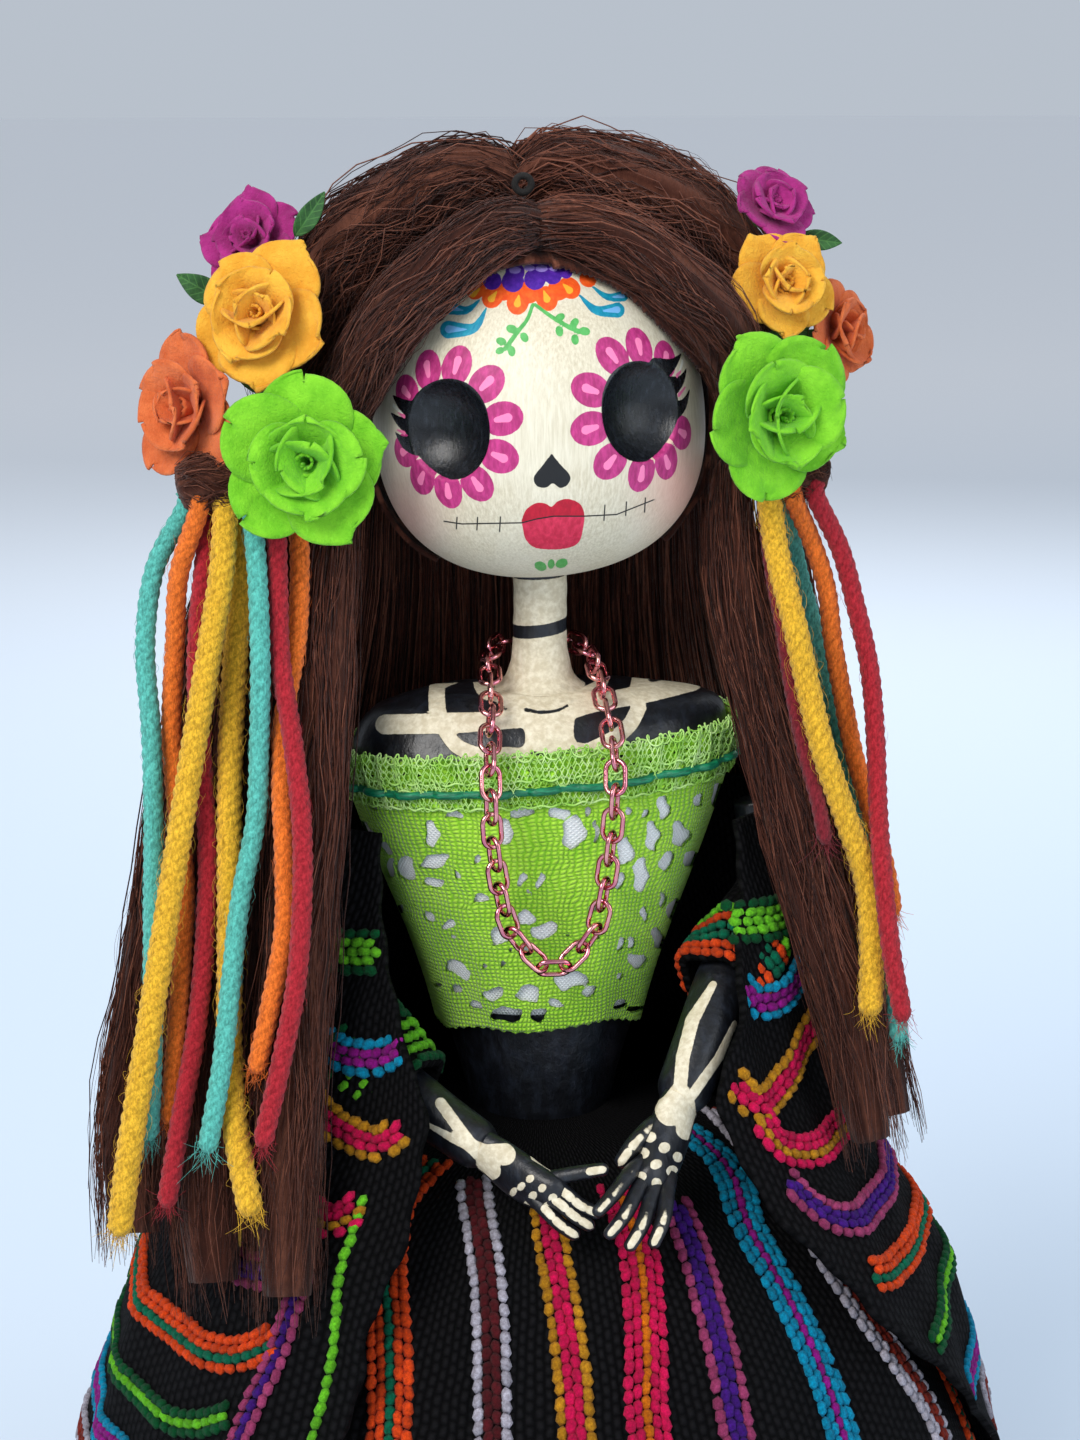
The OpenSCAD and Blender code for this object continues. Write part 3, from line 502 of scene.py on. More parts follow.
# %% Yarn fibres
def fibres_round(line, radius, count, reach, size=0.045):
    """Curled fibres: each starts in the yarn at a random place, and bows out by reach and along by a few
    millimetres."""
    at = rng.integers(2, len(line) - 3, count)
    side, other = frames(line[None], (0, 1, 0))
    turn = rng.uniform(0, 2 * np.pi, count)
    out = np.cos(turn)[:, None] * side[0][at] + np.sin(turn)[:, None] * other[0][at]
    along = unit(line[at + 2] - line[at - 2])
    t = np.linspace(0, 1, 6)[None, :, None]
    bow = (
        radius * 0.8
        + reach * rng.uniform(0.3, 1, (count, 1, 1)) * np.sin(
            np.pi * t * rng.uniform(0.5, 1, (count, 1, 1)))) * out[:, None]
    slide = t * rng.uniform(1.5, 5, (count, 1, 1)) * (rng.choice([-1, 1], (count, 1, 1))) * along[:, None]
    wave = 0.35 * np.sin(6 * t + rng.uniform(0, 6, (count, 1, 1))) * rng.normal(0, 1, (count, 1, 3))
    return tubes(
        line[at][:, None] + bow + slide + wave * t, size * (1 - 0.6 * t[..., 0]), 3, up=(0.3, 1.0, 0.2))


def cut_end(line, radius, count=60):
    """Fibres that fan out of a cut end."""
    end, along = line[-3], unit(line[-1] - line[-6])
    spread = rng.normal(0, 1, (count, 1, 3)) * 0.55
    t = np.linspace(0, 1, 5)[None, :, None]
    start = end + rng.normal(0, radius * 0.42, (count, 1, 3))
    reach = rng.uniform(1.2, 3.6, (count, 1, 1))
    return tubes(
        start + t * reach * (along + spread * t), 0.07 * (1 - 0.6 * t[..., 0]), 3, up=(0.3, 1.0, 0.2))


for colour, material in wools.items():
    for side_name in ("left", "right"):
        strands = [(l, r) for n, (l, r, c) in yarn_lines.items() if c == colour and side_name in n]
        if strands:
            many = {YELLOW: 330}.get(colour, 90)
            parts = [
                p
                for l, r in strands
                for p in (fibres_round(l, r, many, 1.5 if colour == YELLOW else 0.8), cut_end(l, r))]
            fuzz, fuzz_faces = gather(parts)
            # Loose fibres get the full colour, with no painted groove shade.
            make_piece(
                f"{colour}_fuzz_{side_name}", fuzz, fuzz_faces, material, fields={"ply": np.ones(len(fuzz))})

# %% [markdown]
# ## The head
# The head is a ball of paper pulp, wider above than below, coated in cream paint with two bowls pressed in
# for eyes.
# Its surface is a profile turned about an axis, on a fine grid, because the painted face is carried by the
# grid's points.

# %% Head shape
HEAD_MID = np.array([-0.5, -2, 247.0])
HEAD_R, HEAD_LOW, HEAD_HIGH, HEAD_LEAN = 29.0, 27.5, 31.0, np.radians(5)
SOCKET_TURN, SOCKET_RISE, SOCKET_BALL, SOCKET_OUT, SOCKET_RIM = np.radians(35.5), 2.5, 10.5, 34.218, 8.3
HEAD_ROWS, HEAD_COLS = 236, 416


def head_profile(rows):
    """Distance from the axis and height: a superellipse, squarer below, with its rows closer together on
    the face."""
    a = np.linspace(-np.pi / 2, np.pi / 2, 4001)
    power = np.where(a < 0, 2 / 2.45, 2 / 2.1)
    r = HEAD_R * np.cos(a).clip(0) ** power
    z = np.where(a < 0, HEAD_LOW, HEAD_HIGH) * np.sign(a) * np.abs(np.sin(a)) ** power
    weight = np.where((z[1:] > 26) | (r[1:] < 9), 0.45, 1.0)
    run = np.r_[0, np.cumsum(np.hypot(np.diff(r), np.diff(z)) * weight)]
    at = np.linspace(0, run[-1], rows)
    return np.interp(at, run, r), np.interp(at, run, z)


def head_to_world(p):
    """Turns a point of the head by five degrees about its own axis, leans it five degrees, and puts it in
    place."""
    c, s = np.cos(HEAD_LEAN), np.sin(HEAD_LEAN)
    x, y, z = p[..., 0] * c + p[..., 1] * s, p[..., 1] * c - p[..., 0] * s, p[..., 2]
    return np.stack([x * c - z * s, y, x * s + z * c], -1) + HEAD_MID


share = np.linspace(-1, 1, HEAD_COLS + 1)[:-1]
turn = np.pi * (0.62 * share + 0.38 * share**5)
profile_r, profile_z = head_profile(HEAD_ROWS)
smooth_head = np.stack(
    [profile_r[:, None] * np.sin(turn), -profile_r[:, None] * np.cos(turn), profile_z[:, None] + 0 * turn],
    -1)
smooth_head = close_rows(smooth_head)


def socket_axes(side):
    """The way out of an eye bowl, and its right and up directions."""
    out = np.array([side * np.sin(SOCKET_TURN), -np.cos(SOCKET_TURN), 0])
    return out, np.cross([0, 0, 1.0], out), np.array([0, 0, 1.0])


head_points = smooth_head.copy()
socket_places = {}
for side in (-1, 1):
    out, right, up = socket_axes(side)
    from_middle = smooth_head - [0, 0, SOCKET_RISE]
    s, t, depth = from_middle @ right, from_middle @ up, from_middle @ out
    s = np.where(depth > 0, s, 60.0)
    socket_places[side] = (s, t)
    bowl = SOCKET_OUT - np.sqrt((SOCKET_BALL**2 - s**2 - t**2).clip(0))
    dent = np.where(np.hypot(s, t) < SOCKET_BALL, np.minimum(bowl - depth, 0), 0)
    head_points = head_points + np.where(np.hypot(s, t) < SOCKET_RIM + 0.3, dent, 0)[:, None] * out
head_world = head_to_world(head_points)
print("head", len(head_world), "points")

# %% [markdown]
# The face is painted by hand on the curved paper. Its outlines are worked out as distances: a field tells
# how far inside a
# painted shape each point of the surface lies, and the material turns the field into an edge. The flower
# petals round an
# eye are laid out on that eye's own plane; the rest is laid out on a flat chart, as seen from in front.

# %% The painter's chart
NEARER = 0.93  # the front of the figure is nearer to the eye than the plane of the chart


def chart(points):
    """Millimetres across from the middle and down from the aim point, seen from the eye on a plane through
    that point."""
    away = points - eye
    depth = -(away @ view_back)
    return VIEW_DISTANCE * np.stack([away @ view_right / depth, -(away @ view_up) / depth], -1)


def stroke(p, line, radii):
    """How far points lie inside a brush stroke: its radius there, less the distance to the line."""
    line, best = np.asarray(line, float), np.full(len(p), -1e3)
    radii = np.broadcast_to(np.asarray(radii, float), len(line))
    for a, b, ra, rb in zip(line[:-1], line[1:], radii[:-1], radii[1:]):
        t = (((p - a) @ (b - a)) / ((b - a) @ (b - a))).clip(0, 1)
        best = np.maximum(best, ra + (rb - ra) * t - np.linalg.norm(p - a - t[:, None] * (b - a), axis=1))
    return best


def dab(p, middle, half_length, half_width, degrees):
    """How far points lie inside an oval dab, its long side turned up from the x direction."""
    a = np.radians(degrees)
    q = p - middle
    along, across = q @ [np.cos(a), np.sin(a)], q @ [-np.sin(a), np.cos(a)]
    return (1 - np.hypot(along / half_length, across / half_width)) * min(half_length, half_width)


def outline(p, corners, n=90):
    """How far points lie inside a smooth closed outline: the distance to its edges, negative outside."""
    c = spline(np.r_[corners, corners[:1]], n + 1)
    far, inside = np.full(len(p), 1e9), np.zeros(len(p), bool)
    for a, b in zip(c[:-1], c[1:]):
        t = (((p - a) @ (b - a)) / ((b - a) @ (b - a))).clip(0, 1)
        far = np.minimum(far, np.linalg.norm(p - a - t[:, None] * (b - a), axis=1))
        crosses = (a[1] > p[:, 1]) != (b[1] > p[:, 1])
        inside ^= crosses & (p[:, 0] < a[0] + (p[:, 1] - a[1]) / (b[1] - a[1] + 1e-12) * (b[0] - a[0]))
    return np.where(inside, far, -far)


# %% Petals and lashes round the eyes
LASHES = {
    -1: [
        ([[-6.5, 2.6], [-9.5, 3.6], [-12.6, 5.2]], [2.0, 1.15, 0.15]),
        ([[-7.5, 0.2], [-10.5, 0.9], [-13.2, 2.3]], [1.7, 0.95, 0.15]),
        ([[-6.8, -2.8], [-9.6, -2.6], [-12.0, -1.0]], [1.9, 1.1, 0.15])],
    1: [
        ([[4.5, 6.0], [8.8, 6.4], [12.6, 7.6]], [2.2, 1.0, 0.15]),
        ([[6.8, 2.8], [10.4, 3.4], [13.2, 5.0]], [1.9, 0.95, 0.15]),
        ([[6.9, -1.2], [10.2, -0.6], [12.8, 1.4]], [1.8, 1.0, 0.15])],
}
SLIVERS = {
    -1: [[[-9.5, 2.2], [-12.3, 3.6]], [[-9.2, 1.9], [-11.0, 2.4]], [[-9.4, -0.9], [-11.6, -0.4]]],
    1: [[[10.6, 5.0], [12.4, 6.4]], [[9.4, 4.4], [11.2, 5.0]], [[9.0, 1.2], [11.6, 2.2]]]}
PETALS = {
    -1: [146, 112, 79, 43.5, 8, -27, -62, -95, -127, -158],
    1: [153, 113, 80, 46, -30, -64, -97, -134.5, -171.6]}
nothing = np.full(len(smooth_head), -60.0)
paint = {
    key: nothing.copy()
    for key in (
        "petal", "gleam", "socket", "white", "pink", "nose", "lips", "green", "orange", "yellow", "purple",
        "lavender", "teal", "sky")}
for side, (s, t) in socket_places.items():
    plane = np.stack([s, t], -1)
    for degrees in PETALS[side]:
        ray = np.array([np.cos(np.radians(degrees)), np.sin(np.radians(degrees))])
        paint["petal"] = np.maximum(paint["petal"], dab(plane, 10.4 * ray, 3.3, 2.85, degrees))
        paint["gleam"] = np.maximum(paint["gleam"], stroke(plane, [9.5 * ray, 11.3 * ray], [0.45, 0.75]))
    rim = 0.25 * np.sin(3 * np.arctan2(t, s) + side)
    paint["socket"] = np.maximum(paint["socket"], SOCKET_RIM + 0.1 + rim - np.hypot(s, t))
    for line, radii in LASHES[side]:
        paint["socket"] = np.maximum(
            paint["socket"],
            stroke(plane, spline(line, 9), np.interp(np.linspace(0, 2, 9), [0, 1, 2], radii)))
    for key, line in zip(("white", "pink", "pink"), SLIVERS[side]):
        paint[key] = np.maximum(
            paint[key], stroke(plane, line, [0.35, 0.15] if key == "pink" else [0.2, 0.35]))

# %% Nose, lips, forehead and chin
flat = chart(head_to_world(smooth_head))
BUNCH = (-2.3, -84.8)
front = (smooth_head[:, 1] < 2)


def lay(key, field):
    """Adds a shape to a paint, on the front of the head only."""
    paint[key] = np.maximum(paint[key], np.where(front, field * NEARER, -60))


lay(
    "nose",
    outline(
        flat,
        [
            [2.1, -48], [3.5, -46.2], [5.4, -44], [5, -42.4], [3.6, -41.8], [2.3, -42.6], [1, -41.8],
            [-0.6, -42.2], [-1.1, -43.7], [0.6, -46]]))
lay(
    "lips",
    outline(
        flat,
        [
            [-3.3, -36], [-2.4, -38], [-0.5, -39.1], [1.1, -38.9], [2.1, -38.4], [3.2, -39.4], [5.2, -39.8],
            [7.2, -38.9], [8, -37], [7.7, -34.2], [6.9, -31.9], [4.7, -30.9], [1.6, -30.7], [-1.1, -31.1],
            [-2.6, -32.6], [-3.1, -34.6]]))
for x, y, r in [
    (-8.6, -79.1, 1.66), (-4.9, -79, 1.96), (-0.9, -79.4, 1.96), (2.3, -80.1, 1.66), (4.7, -80.6, 1.13),
    (-4.5, -80.6, 1.75), (-0.1, -80.9, 1.96),
]:
    lay("purple", r - np.hypot(*(flat - [x, y]).T))
for x, y, r in [(-4.5, -81, 1.13), (-1.9, -81.4, 1.05), (0.3, -81.3, 1.13), (2.5, -81.3, 0.87)]:
    lay("lavender", dab(flat, [x, y], r, 0.55 * r, 0))
for x, y, r in [
    (-11.5, -77.4, 1.66), (-8.5, -76.2, 1.92), (-4, -75.3, 2.09), (1.2, -75.9, 2.05), (5.3, -77.8, 1.92),
    (8.6, -79.3, 1.4), (-6.2, -77.4, 1.75), (-1.9, -77.2, 1.96), (3.2, -77.4, 1.75),
]:
    ray = unit([x - BUNCH[0], y - BUNCH[1]])
    lay("orange", dab(flat, [x, y], 1.12 * r, 0.95 * r, np.degrees(np.arctan2(ray[1], ray[0]))))
for x, y in [(-11.7, -77), (-8.5, -76.2), (-4, -75.4), (1.1, -76.2), (5, -77.7)]:
    ray = unit([x - BUNCH[0], y - BUNCH[1]])
    lay("yellow", stroke(flat, [[x, y] - 1.13 * ray, [x, y] + 0.44 * ray], [0.13, 0.65]))
for a, b, bend, r in [
    ((-10.9, -75.6), (-15.9, -74.1), (-13.2, -73.8), 1.13),
    ((-9.7, -74.1), (-16.4, -70.3), (-11.9, -70.6), 1.61), ((9.5, -78), (14.9, -76.3), (12.1, -76.2), 0.96),
    ((7.1, -76.5), (13.9, -73.8), (10.1, -73.8), 1.35),
]:
    line = spline([a, bend, b], 12)
    lay("teal", stroke(flat, line, np.linspace(0.17, r, 12)))
    lay("sky", stroke(flat, line[7:] - [0, 0.09], np.linspace(0.09, 0.45 * r, 5)))
for line in [
    [[-1.3, -74.8], [-2.3, -72.1], [-3.8, -70.2], [-6.2, -66.9]],
    [[-0.9, -74.8], [2.1, -72.6], [5.1, -70.8], [7.1, -69.9]],
]:
    lay("green", stroke(flat, spline(line, 16), np.linspace(0.31, 0.44, 16)))
for x, y, r, a in [
    (-5.1, -70.4, 1.05, 20), (-2.8, -68.9, 0.96, 60), (-7, -68.2, 0.96, 20), (-7.2, -66.5, 0.87, -20),
    (-5.1, -66.4, 0.96, 80), (3.6, -72.5, 0.96, -30), (3.5, -70, 0.96, 80), (6.2, -71.5, 0.96, -55),
    (8, -70, 1.05, 10), (6.3, -68.5, 0.96, 80), (0.1, -27.7, 1.13, 20), (2, -28.1, 0.87, -85),
    (3.9, -28.2, 1.13, -20),
]:
    lay("green", dab(flat, [x, y], r, 0.72 * r, a))
blush = sum(
    w * np.exp(-(((flat - c) / size) ** 2).sum(1)) * front
    for c, size, w in [((-25, -35.9), (6.55, 8.29), 0.75), ((25.6, -42.5), (6.55, 10.04), 0.85)])
mouth = flat[:, 1] - np.interp(
    flat[:, 0], [-17.4, -14.1, -3.3, -0.6, 2.5, 8, 13.8, 20.6],
    [-35.8, -35.3, -35.5, -36.2, -36.7, -36.7, -37, -39.7])
front_chart = np.where(front[:, None], flat, -500.0)
fields = {**paint, "blush": blush, "mouth": np.where(front, mouth * NEARER, 60)}

# %% Head paint
TICKS = [
    (-15, -36.7, -34.2), (-11.3, -36.7, -34), (-7.2, -36.8, -33.7), (11.6, -38.9, -35.7),
    (15.5, -39.5, -36.6), (18.9, -40.2, -37.2)]


def on_face(w, key, soft=0.05):
    """1 inside a painted shape, with an edge that wavers a little."""
    return (w.field(key) + (w.place().noise(1.6, 2) - 0.5) * 0.16).step(-soft, soft)


def strokes_of_skin(w):
    """Fine brush lines that run down the face."""
    return w.place().noise(1.5, 4, 0.7, (1.6, 1.6, 0.1))


def head_base(w):
    lines = strokes_of_skin(w)
    skin = lines.step(0.25, 0.75).mix((0.56, 0.49, 0.34), (0.80, 0.735, 0.57))
    skin = (w.place().noise(0.07, 2).step(0.35, 0.7) * 0.35).mix(skin, (0.86, 0.82, 0.68))
    skin = (w.field("blush").new("Clamp", {}, {0: w.field("blush")}) * 0.8).mix(skin, (0.80, 0.36, 0.30))
    brushed = w.place().noise(1.2, 3, 0.6, (1, 1, 0.35)).step(0.3, 0.75)
    coats = [
        ("petal", brushed.mix((0.36, 0.015, 0.13), (0.62, 0.045, 0.25))),
        ("gleam", (0.95, 0.22, 0.45)),
        ("orange", brushed.mix((0.82, 0.075, 0.008), (0.95, 0.14, 0.015))),
        ("yellow", (0.93, 0.42, 0.03)),
        ("purple", brushed.mix((0.06, 0.012, 0.30), (0.115, 0.025, 0.43))),
        ("lavender", (0.38, 0.27, 0.78)),
        ("teal", brushed.mix((0.0, 0.21, 0.35), (0.01, 0.33, 0.46))),
        ("sky", (0.17, 0.45, 0.80)),
        ("green", brushed.mix((0.06, 0.35, 0.07), (0.11, 0.47, 0.12))),
        ("nose", (0.006, 0.006, 0.007)),
    ]
    colour = skin
    for key, coat in coats:
        colour = on_face(w, key).mix(colour, coat)
    upper = w.field("mouth").step(-0.05, 0.05)
    lips = upper.mix(
        brushed.mix((0.42, 0.0, 0.02), (0.60, 0.004, 0.03)),
        brushed.mix((0.55, 0.012, 0.05), (0.78, 0.035, 0.10)))
    colour = on_face(w, "lips").mix(colour, lips)
    x = w.new("SeparateXYZ", {}, {0: w.uv()})
    y = w.new("SeparateXYZ", {}, {0: w.uv()}, 1)
    mouth_line = (
        1 - w.field("mouth").abs().step(0.08, 0.15)) * x.step(-17.49, -17.22) * (1 - x.step(20.22, 20.92))
    for place, top, bottom in TICKS:
        half = (bottom - top) / 2
        tick = (1 - ((x - place) + (y - top - half) * 0.06).abs().step(0.07, 0.17)) * (
            1 - (y - top - half).abs().step(half - 0.26, half))
        mouth_line = mouth_line.math("MAXIMUM", mouth_line, tick)
    colour = mouth_line.mix(colour, (0.008, 0.007, 0.008))
    # The eye bowls' glossy black: brush streaks whose lighter blue-grey is a painted highlight of the gloss.
    black = w.place().noise(0.9, 4, 0.65, (1.5, 1.5, 0.5)).step(0.45, 0.85).mix(
        (0.004, 0.005, 0.007), (0.028, 0.034, 0.045))
    colour = on_face(w, "socket").mix(colour, black)
    colour = on_face(w, "white").mix(colour, (0.85, 0.84, 0.74))
    return on_face(w, "pink").mix(colour, (0.82, 0.16, 0.36))


def head_rough(w):
    return on_face(w, "socket").mix(
        (0.5, 0.5, 0.5), (0.27, 0.27, 0.27)) + (w.place().noise(0.8, 3) - 0.5) * 0.15


head_paint = finish(
    "painted_face", head_base, head_rough, lambda w: strokes_of_skin(w) + w.place().noise(0.5, 3) * 0.7,
    0.09, Specular_IOR_Level=0.45)
head = make_piece(
    "painted_head", head_world, closed_faces(HEAD_ROWS, HEAD_COLS), head_paint, uv=front_chart,
    fields=fields)
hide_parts("skull_shell")

# %% [markdown]
# ## Body, neck and arms
# The body is a paper cone with a flat top, painted black and then with cream bones. The painted bones are
# again fields on
# the grid, laid out on the same chart as the face.

# %% Body shape
TORSO_Z, TORSO_H, TORSO_R = 117.5, 81.0, 34.0
TORSO_ROWS = np.array(
    [
        [0, .375, .290], [.06, .395, .305], [.15, .45, .35], [.28, .545, .41], [.43, .665, .475],
        [.59, .81, .53], [.75, .945, .56], [.85, 1, .545], [.92, .985, .48], [.97, .88, .37], [1, .6, .24]])
torso_curve = spline(TORSO_ROWS * [TORSO_H, TORSO_R, TORSO_R], 500)


def torso_point(z, turn, out=0.0):
    """A point of the body: an ellipse at each height, grown by out, its rim leaning up to one side near the
    shoulders."""
    height = z - TORSO_Z
    a, b = np.interp(
        height, torso_curve[:, 0], torso_curve[:, 1]
    ) + out, np.interp(height, torso_curve[:, 0], torso_curve[:, 2]) + out
    lean = 0.07 * np.clip((z - 142.5) / 50, 0, 1) * np.clip((198.5 - z) / 6, 0, 1)
    return np.stack([a * np.cos(turn), b * np.sin(turn), z + lean * a * np.cos(turn)], -1)


BODY_COLS = 300
body_turn = np.linspace(0, 2 * np.pi, BODY_COLS, endpoint=False)[None]
body_z = np.r_[np.linspace(117.5, 184, 46), np.linspace(184.6, 198.45, 54)][:, None]
body_wall = torso_point(body_z, body_turn)
closing = np.linspace(1, 0, 26)[1:, None]
body_top = np.stack(
    [
        20.4 * closing * np.cos(body_turn), 8.16 * closing * np.sin(body_turn),
        198.5 + 0 * closing + 0 * body_turn],
    -1)
body_foot = np.stack([0 * body_turn, 0 * body_turn, 117.5 + 0 * body_turn], -1)
body = close_rows(np.concatenate([body_foot, body_wall, body_top]))
body += unit(body - [0, 0, 180]) * (
    0.12 * np.sin(0.9 * body[:, :1] + 2 * np.sin(0.35 * body[:, 2:])) * np.sin(0.7 * body[:, 2:]))

# %% Chest paint
chest = chart(body)
bones = np.full(len(body), -60.0)
for line, radius in [
    ([[-27.9, 0.8], [-14.8, 0.5], [-3.4, -0.1]], [1.78, 1.89, 1.49]),
    ([[4.1, -1.4], [9.3, -2.9], [18.5, -4.7], [27.6, -6.8]], [1.72, 1.55, 1.72, 1.55]),
    ([[-14.8, -7.2], [-18, -6.8], [-18.6, -4.7], [-18.4, -1.2]], [0.46, 1.38, 1.49, 1.55]),
    ([[-17, 2.2], [-14.8, 4.8], [-10.8, 6.3], [-5.7, 6.3]], [1.26, 1.38, 1.38, 1.49]),
    ([[12.7, -9.4], [16.7, -9.4], [18, -8.1], [17.7, -5.8]], [0.46, 1.15, 1.49, 1.49]),
    ([[17.8, -2.3], [16.2, 0.8], [13.3, 3.3], [8.7, 5.6]], [1.38, 1.38, 1.38, 1.38]),
    ([[11.6, -8.6], [10.8, -6.3], [7, -4.1]], [0.92, 1.15, 1.49]),
    ([[-11.3, -7.2], [-10.3, -5.3], [-6.8, -3.5]], [0.8, 1.15, 1.38]),
]:
    line = spline(line, 14)
    bones = np.maximum(
        bones, stroke(chest, line, np.interp(np.linspace(0, 1, 14), np.linspace(0, 1, len(radius)), radius)))
bones = np.maximum(
    bones,
    outline(
        chest,
        [
            [-9.1, -9.9], [-1.1, -11.6], [5.8, -9.9], [6.7, -3.5], [6.1, 1], [6.5, 3.9], [8.8, 4.5],
            [13.9, 9.1], [-1.1, 10.2], [-9.1, 9.1], [-6.8, 5.1], [-3, 4.8], [-3.1, 1.3], [-5.7, 1],
            [-7.4, -3.5]]))
for line in [
    [[-2.7, -1.9], [0.1, -1.4], [3, -1.7], [5, -2.6]], [[-1.4, 5.9], [1.2, 6.4], [4.1, 6], [6.1, 5.1]],
    [[-9.1, -3.3], [-7.4, -2.7], [-5.9, -1.8]],
]:
    bones = np.minimum(bones, -stroke(chest, spline(line, 10), np.linspace(0.29, 0.17, 10)) - 0.06)
bones = np.where(body[:, 1] < 4, bones * NEARER, -3)


# %% Black and bone paint
def black_and_bone(name, shine):
    """Black satin paint, brushed, with bones in thick cream paint on top of it."""

    def bone(w):
        return (w.field("bone") + (w.place().noise(1.4, 2) - 0.5) * 0.2).step(-0.06, 0.06)

    def base(w):
        blue = w.place().noise(0.35, 4, 0.65, (1.5, 1.5, 0.5)).step(0.4, 0.8)
        black = blue.mix((0.0045, 0.005, 0.007), (0.016, 0.020, 0.030))
        cream = w.place().noise(0.9, 3, 0.6).step(0.3, 0.75).mix((0.60, 0.52, 0.36), (0.82, 0.75, 0.58))
        worn = w.place().noise(0.25, 3).step(0.62, 0.8) * 0.35
        return bone(w).mix(black, worn.mix(cream, (0.42, 0.40, 0.33)))

    def rough(w):
        return shine + bone(w) * 0.18 + (w.place().noise(0.6, 3) - 0.5) * 0.2

    def bump(w):
        return w.place().noise(0.45, 4, 0.6) * 1.2 + w.place().noise(
            1.8, 3, 0.6, (1, 1, 0.4)) * 0.35 + bone(w) * 0.7

    return finish(name, base, rough, bump, 0.16, Specular_IOR_Level=0.5)


body_paint = black_and_bone("painted_body", 0.36)
body_piece = make_piece(
    "painted_torso", body, closed_faces(len(body_z) + 27, BODY_COLS), body_paint, fields={"bone": bones})
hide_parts("torso_shell")

# %% Neck
neck_profile = spline(
    [
        [198.3, 8.6], [199.1, 7.3], [200.9, 5.95], [204.5, 5.05], [208.5, 4.8], [214, 4.75], [219.5, 4.8],
        [220.2, 4.6]],
    70)
neck_turn = np.linspace(0, 2 * np.pi, 72, endpoint=False)[None]
neck_r = neck_profile[:, 1:] * (
    1 + 0.018 * np.sin(3 * neck_turn + neck_profile[:, :1]) * np.sin(0.5 * neck_profile[:, :1]))
neck = np.stack(
    [neck_r * np.cos(neck_turn), neck_r * np.sin(neck_turn), neck_profile[:, :1] + 0 * neck_turn], -1)
neck = close_rows(np.concatenate([neck[:1] * [0, 0, 1], neck, neck[-1:] * [0, 0, 1]]))
heights = np.linspace(199, 222, 100)
front_y = chart(np.stack([0 * heights, -4.8 + 0 * heights, heights], -1))[:, 1]
ring_z = np.interp([16.06, 26.05], -front_y, heights)
print("neck rings at", ring_z.round(1))
tilt = 0.14 * neck[:, 0]
rings = np.maximum(
    1.15 - np.abs(neck[:, 2] - ring_z[0] - tilt), 0.75 - np.abs(neck[:, 2] - ring_z[1] - tilt * 0.4))
neck_paint = black_and_bone("painted_neck", 0.42)
neck_piece = make_piece("painted_neck", neck, closed_faces(72, 72), neck_paint, fields={"bone": -rings})
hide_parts("neck_sleeve")

# %% Arms and hands
ARMS = {
    "left": [
        (-39.5, 0, 176, 3.8), (-41.5, -1, 162, 4.8), (-41, -6, 148, 5), (-36, -15.5, 138.2, 4.8),
        (-23.5, -28, 129.4, 4.7), (-13.5, -37.5, 124, 4.3)],
    "right": [
        (39.5, 0, 176, 3.8), (41.5, -1, 166, 4.8), (40, -6, 156, 5.2), (31.5, -17.5, 148.5, 5.2),
        (24.5, -29, 139.5, 5), (18.8, -36.5, 130, 4.8)],
}
PALMS = {
    "left": [
        (-14.6, -36.6, 124.5, 4.3),
        (-13.1, -37.9, 123.8, 4.4),
        (-8, -42.8, 121, 4.9),
        (-3.5, -46.6, 119.6, 4.2),
        (-1.9, -47.9, 119.0, 2.4),
    ],
    "right": [
        (19.6, -35.6, 131.0, 4.7),
        (18.5, -36.9, 129.5, 4.8),
        (14.9, -42, 123.6, 5.3),
        (12.2, -46.6, 120.4, 4.7),
        (11.2, -48.2, 119.2, 2.8),
    ],
}
FINGERS = {
    "left": [
        [(-7, -43, 121.5, 1.5), (-5, -45.5, 122.5, 1.4), (-0.5, -47.5, 124, 1.3), (5, -48.5, 125, 1.1)],
        [(-6, -45, 120.5, 1.4), (-3, -47.5, 121, 1.4), (0, -49.5, 119, 1.25), (3.5, -50.8, 117.6, 1.1)],
        [(-7, -45.4, 120.2, 1.4), (-4, -48, 119.5, 1.4), (-1, -50, 117.3, 1.25), (2, -51.5, 115.6, 1.1)],
        [(-8, -44.6, 119.6, 1.4), (-6, -47, 118, 1.4), (-3.5, -49.5, 115.8, 1.25), (-0.5, -51.3, 114, 1.1)],
    ],
    "right": [
        [(16, -38, 128.5, 1.6), (14, -40, 129, 1.6), (10, -43.5, 127, 1.5), (7, -45.5, 124, 1.2)],
        [(12, -44.5, 124.6, 1.4), (9, -47.5, 123.8, 1.4), (5.2, -51.8, 121.6, 1.3), (1.5, -55, 119.4, 1.1)],
        [(12, -46.5, 122.6, 1.4), (10, -49, 121.3, 1.4), (6.8, -53.8, 118.6, 1.3), (3.2, -56.6, 115.9, 1.1)],
        [(13.5, -47, 121.6, 1.4), (12, -50, 120, 1.4), (9.6, -54.8, 117, 1.3), (6.6, -57.4, 113.8, 1.1)],
        [
            (16, -45.5, 121.8, 1.4), (15, -48.5, 120.5, 1.4), (13.4, -54, 117.6, 1.3),
            (10.8, -57.2, 113.9, 1.1)],
    ],
}
PALM_ACROSS = (0.2, -1.0, -0.5)


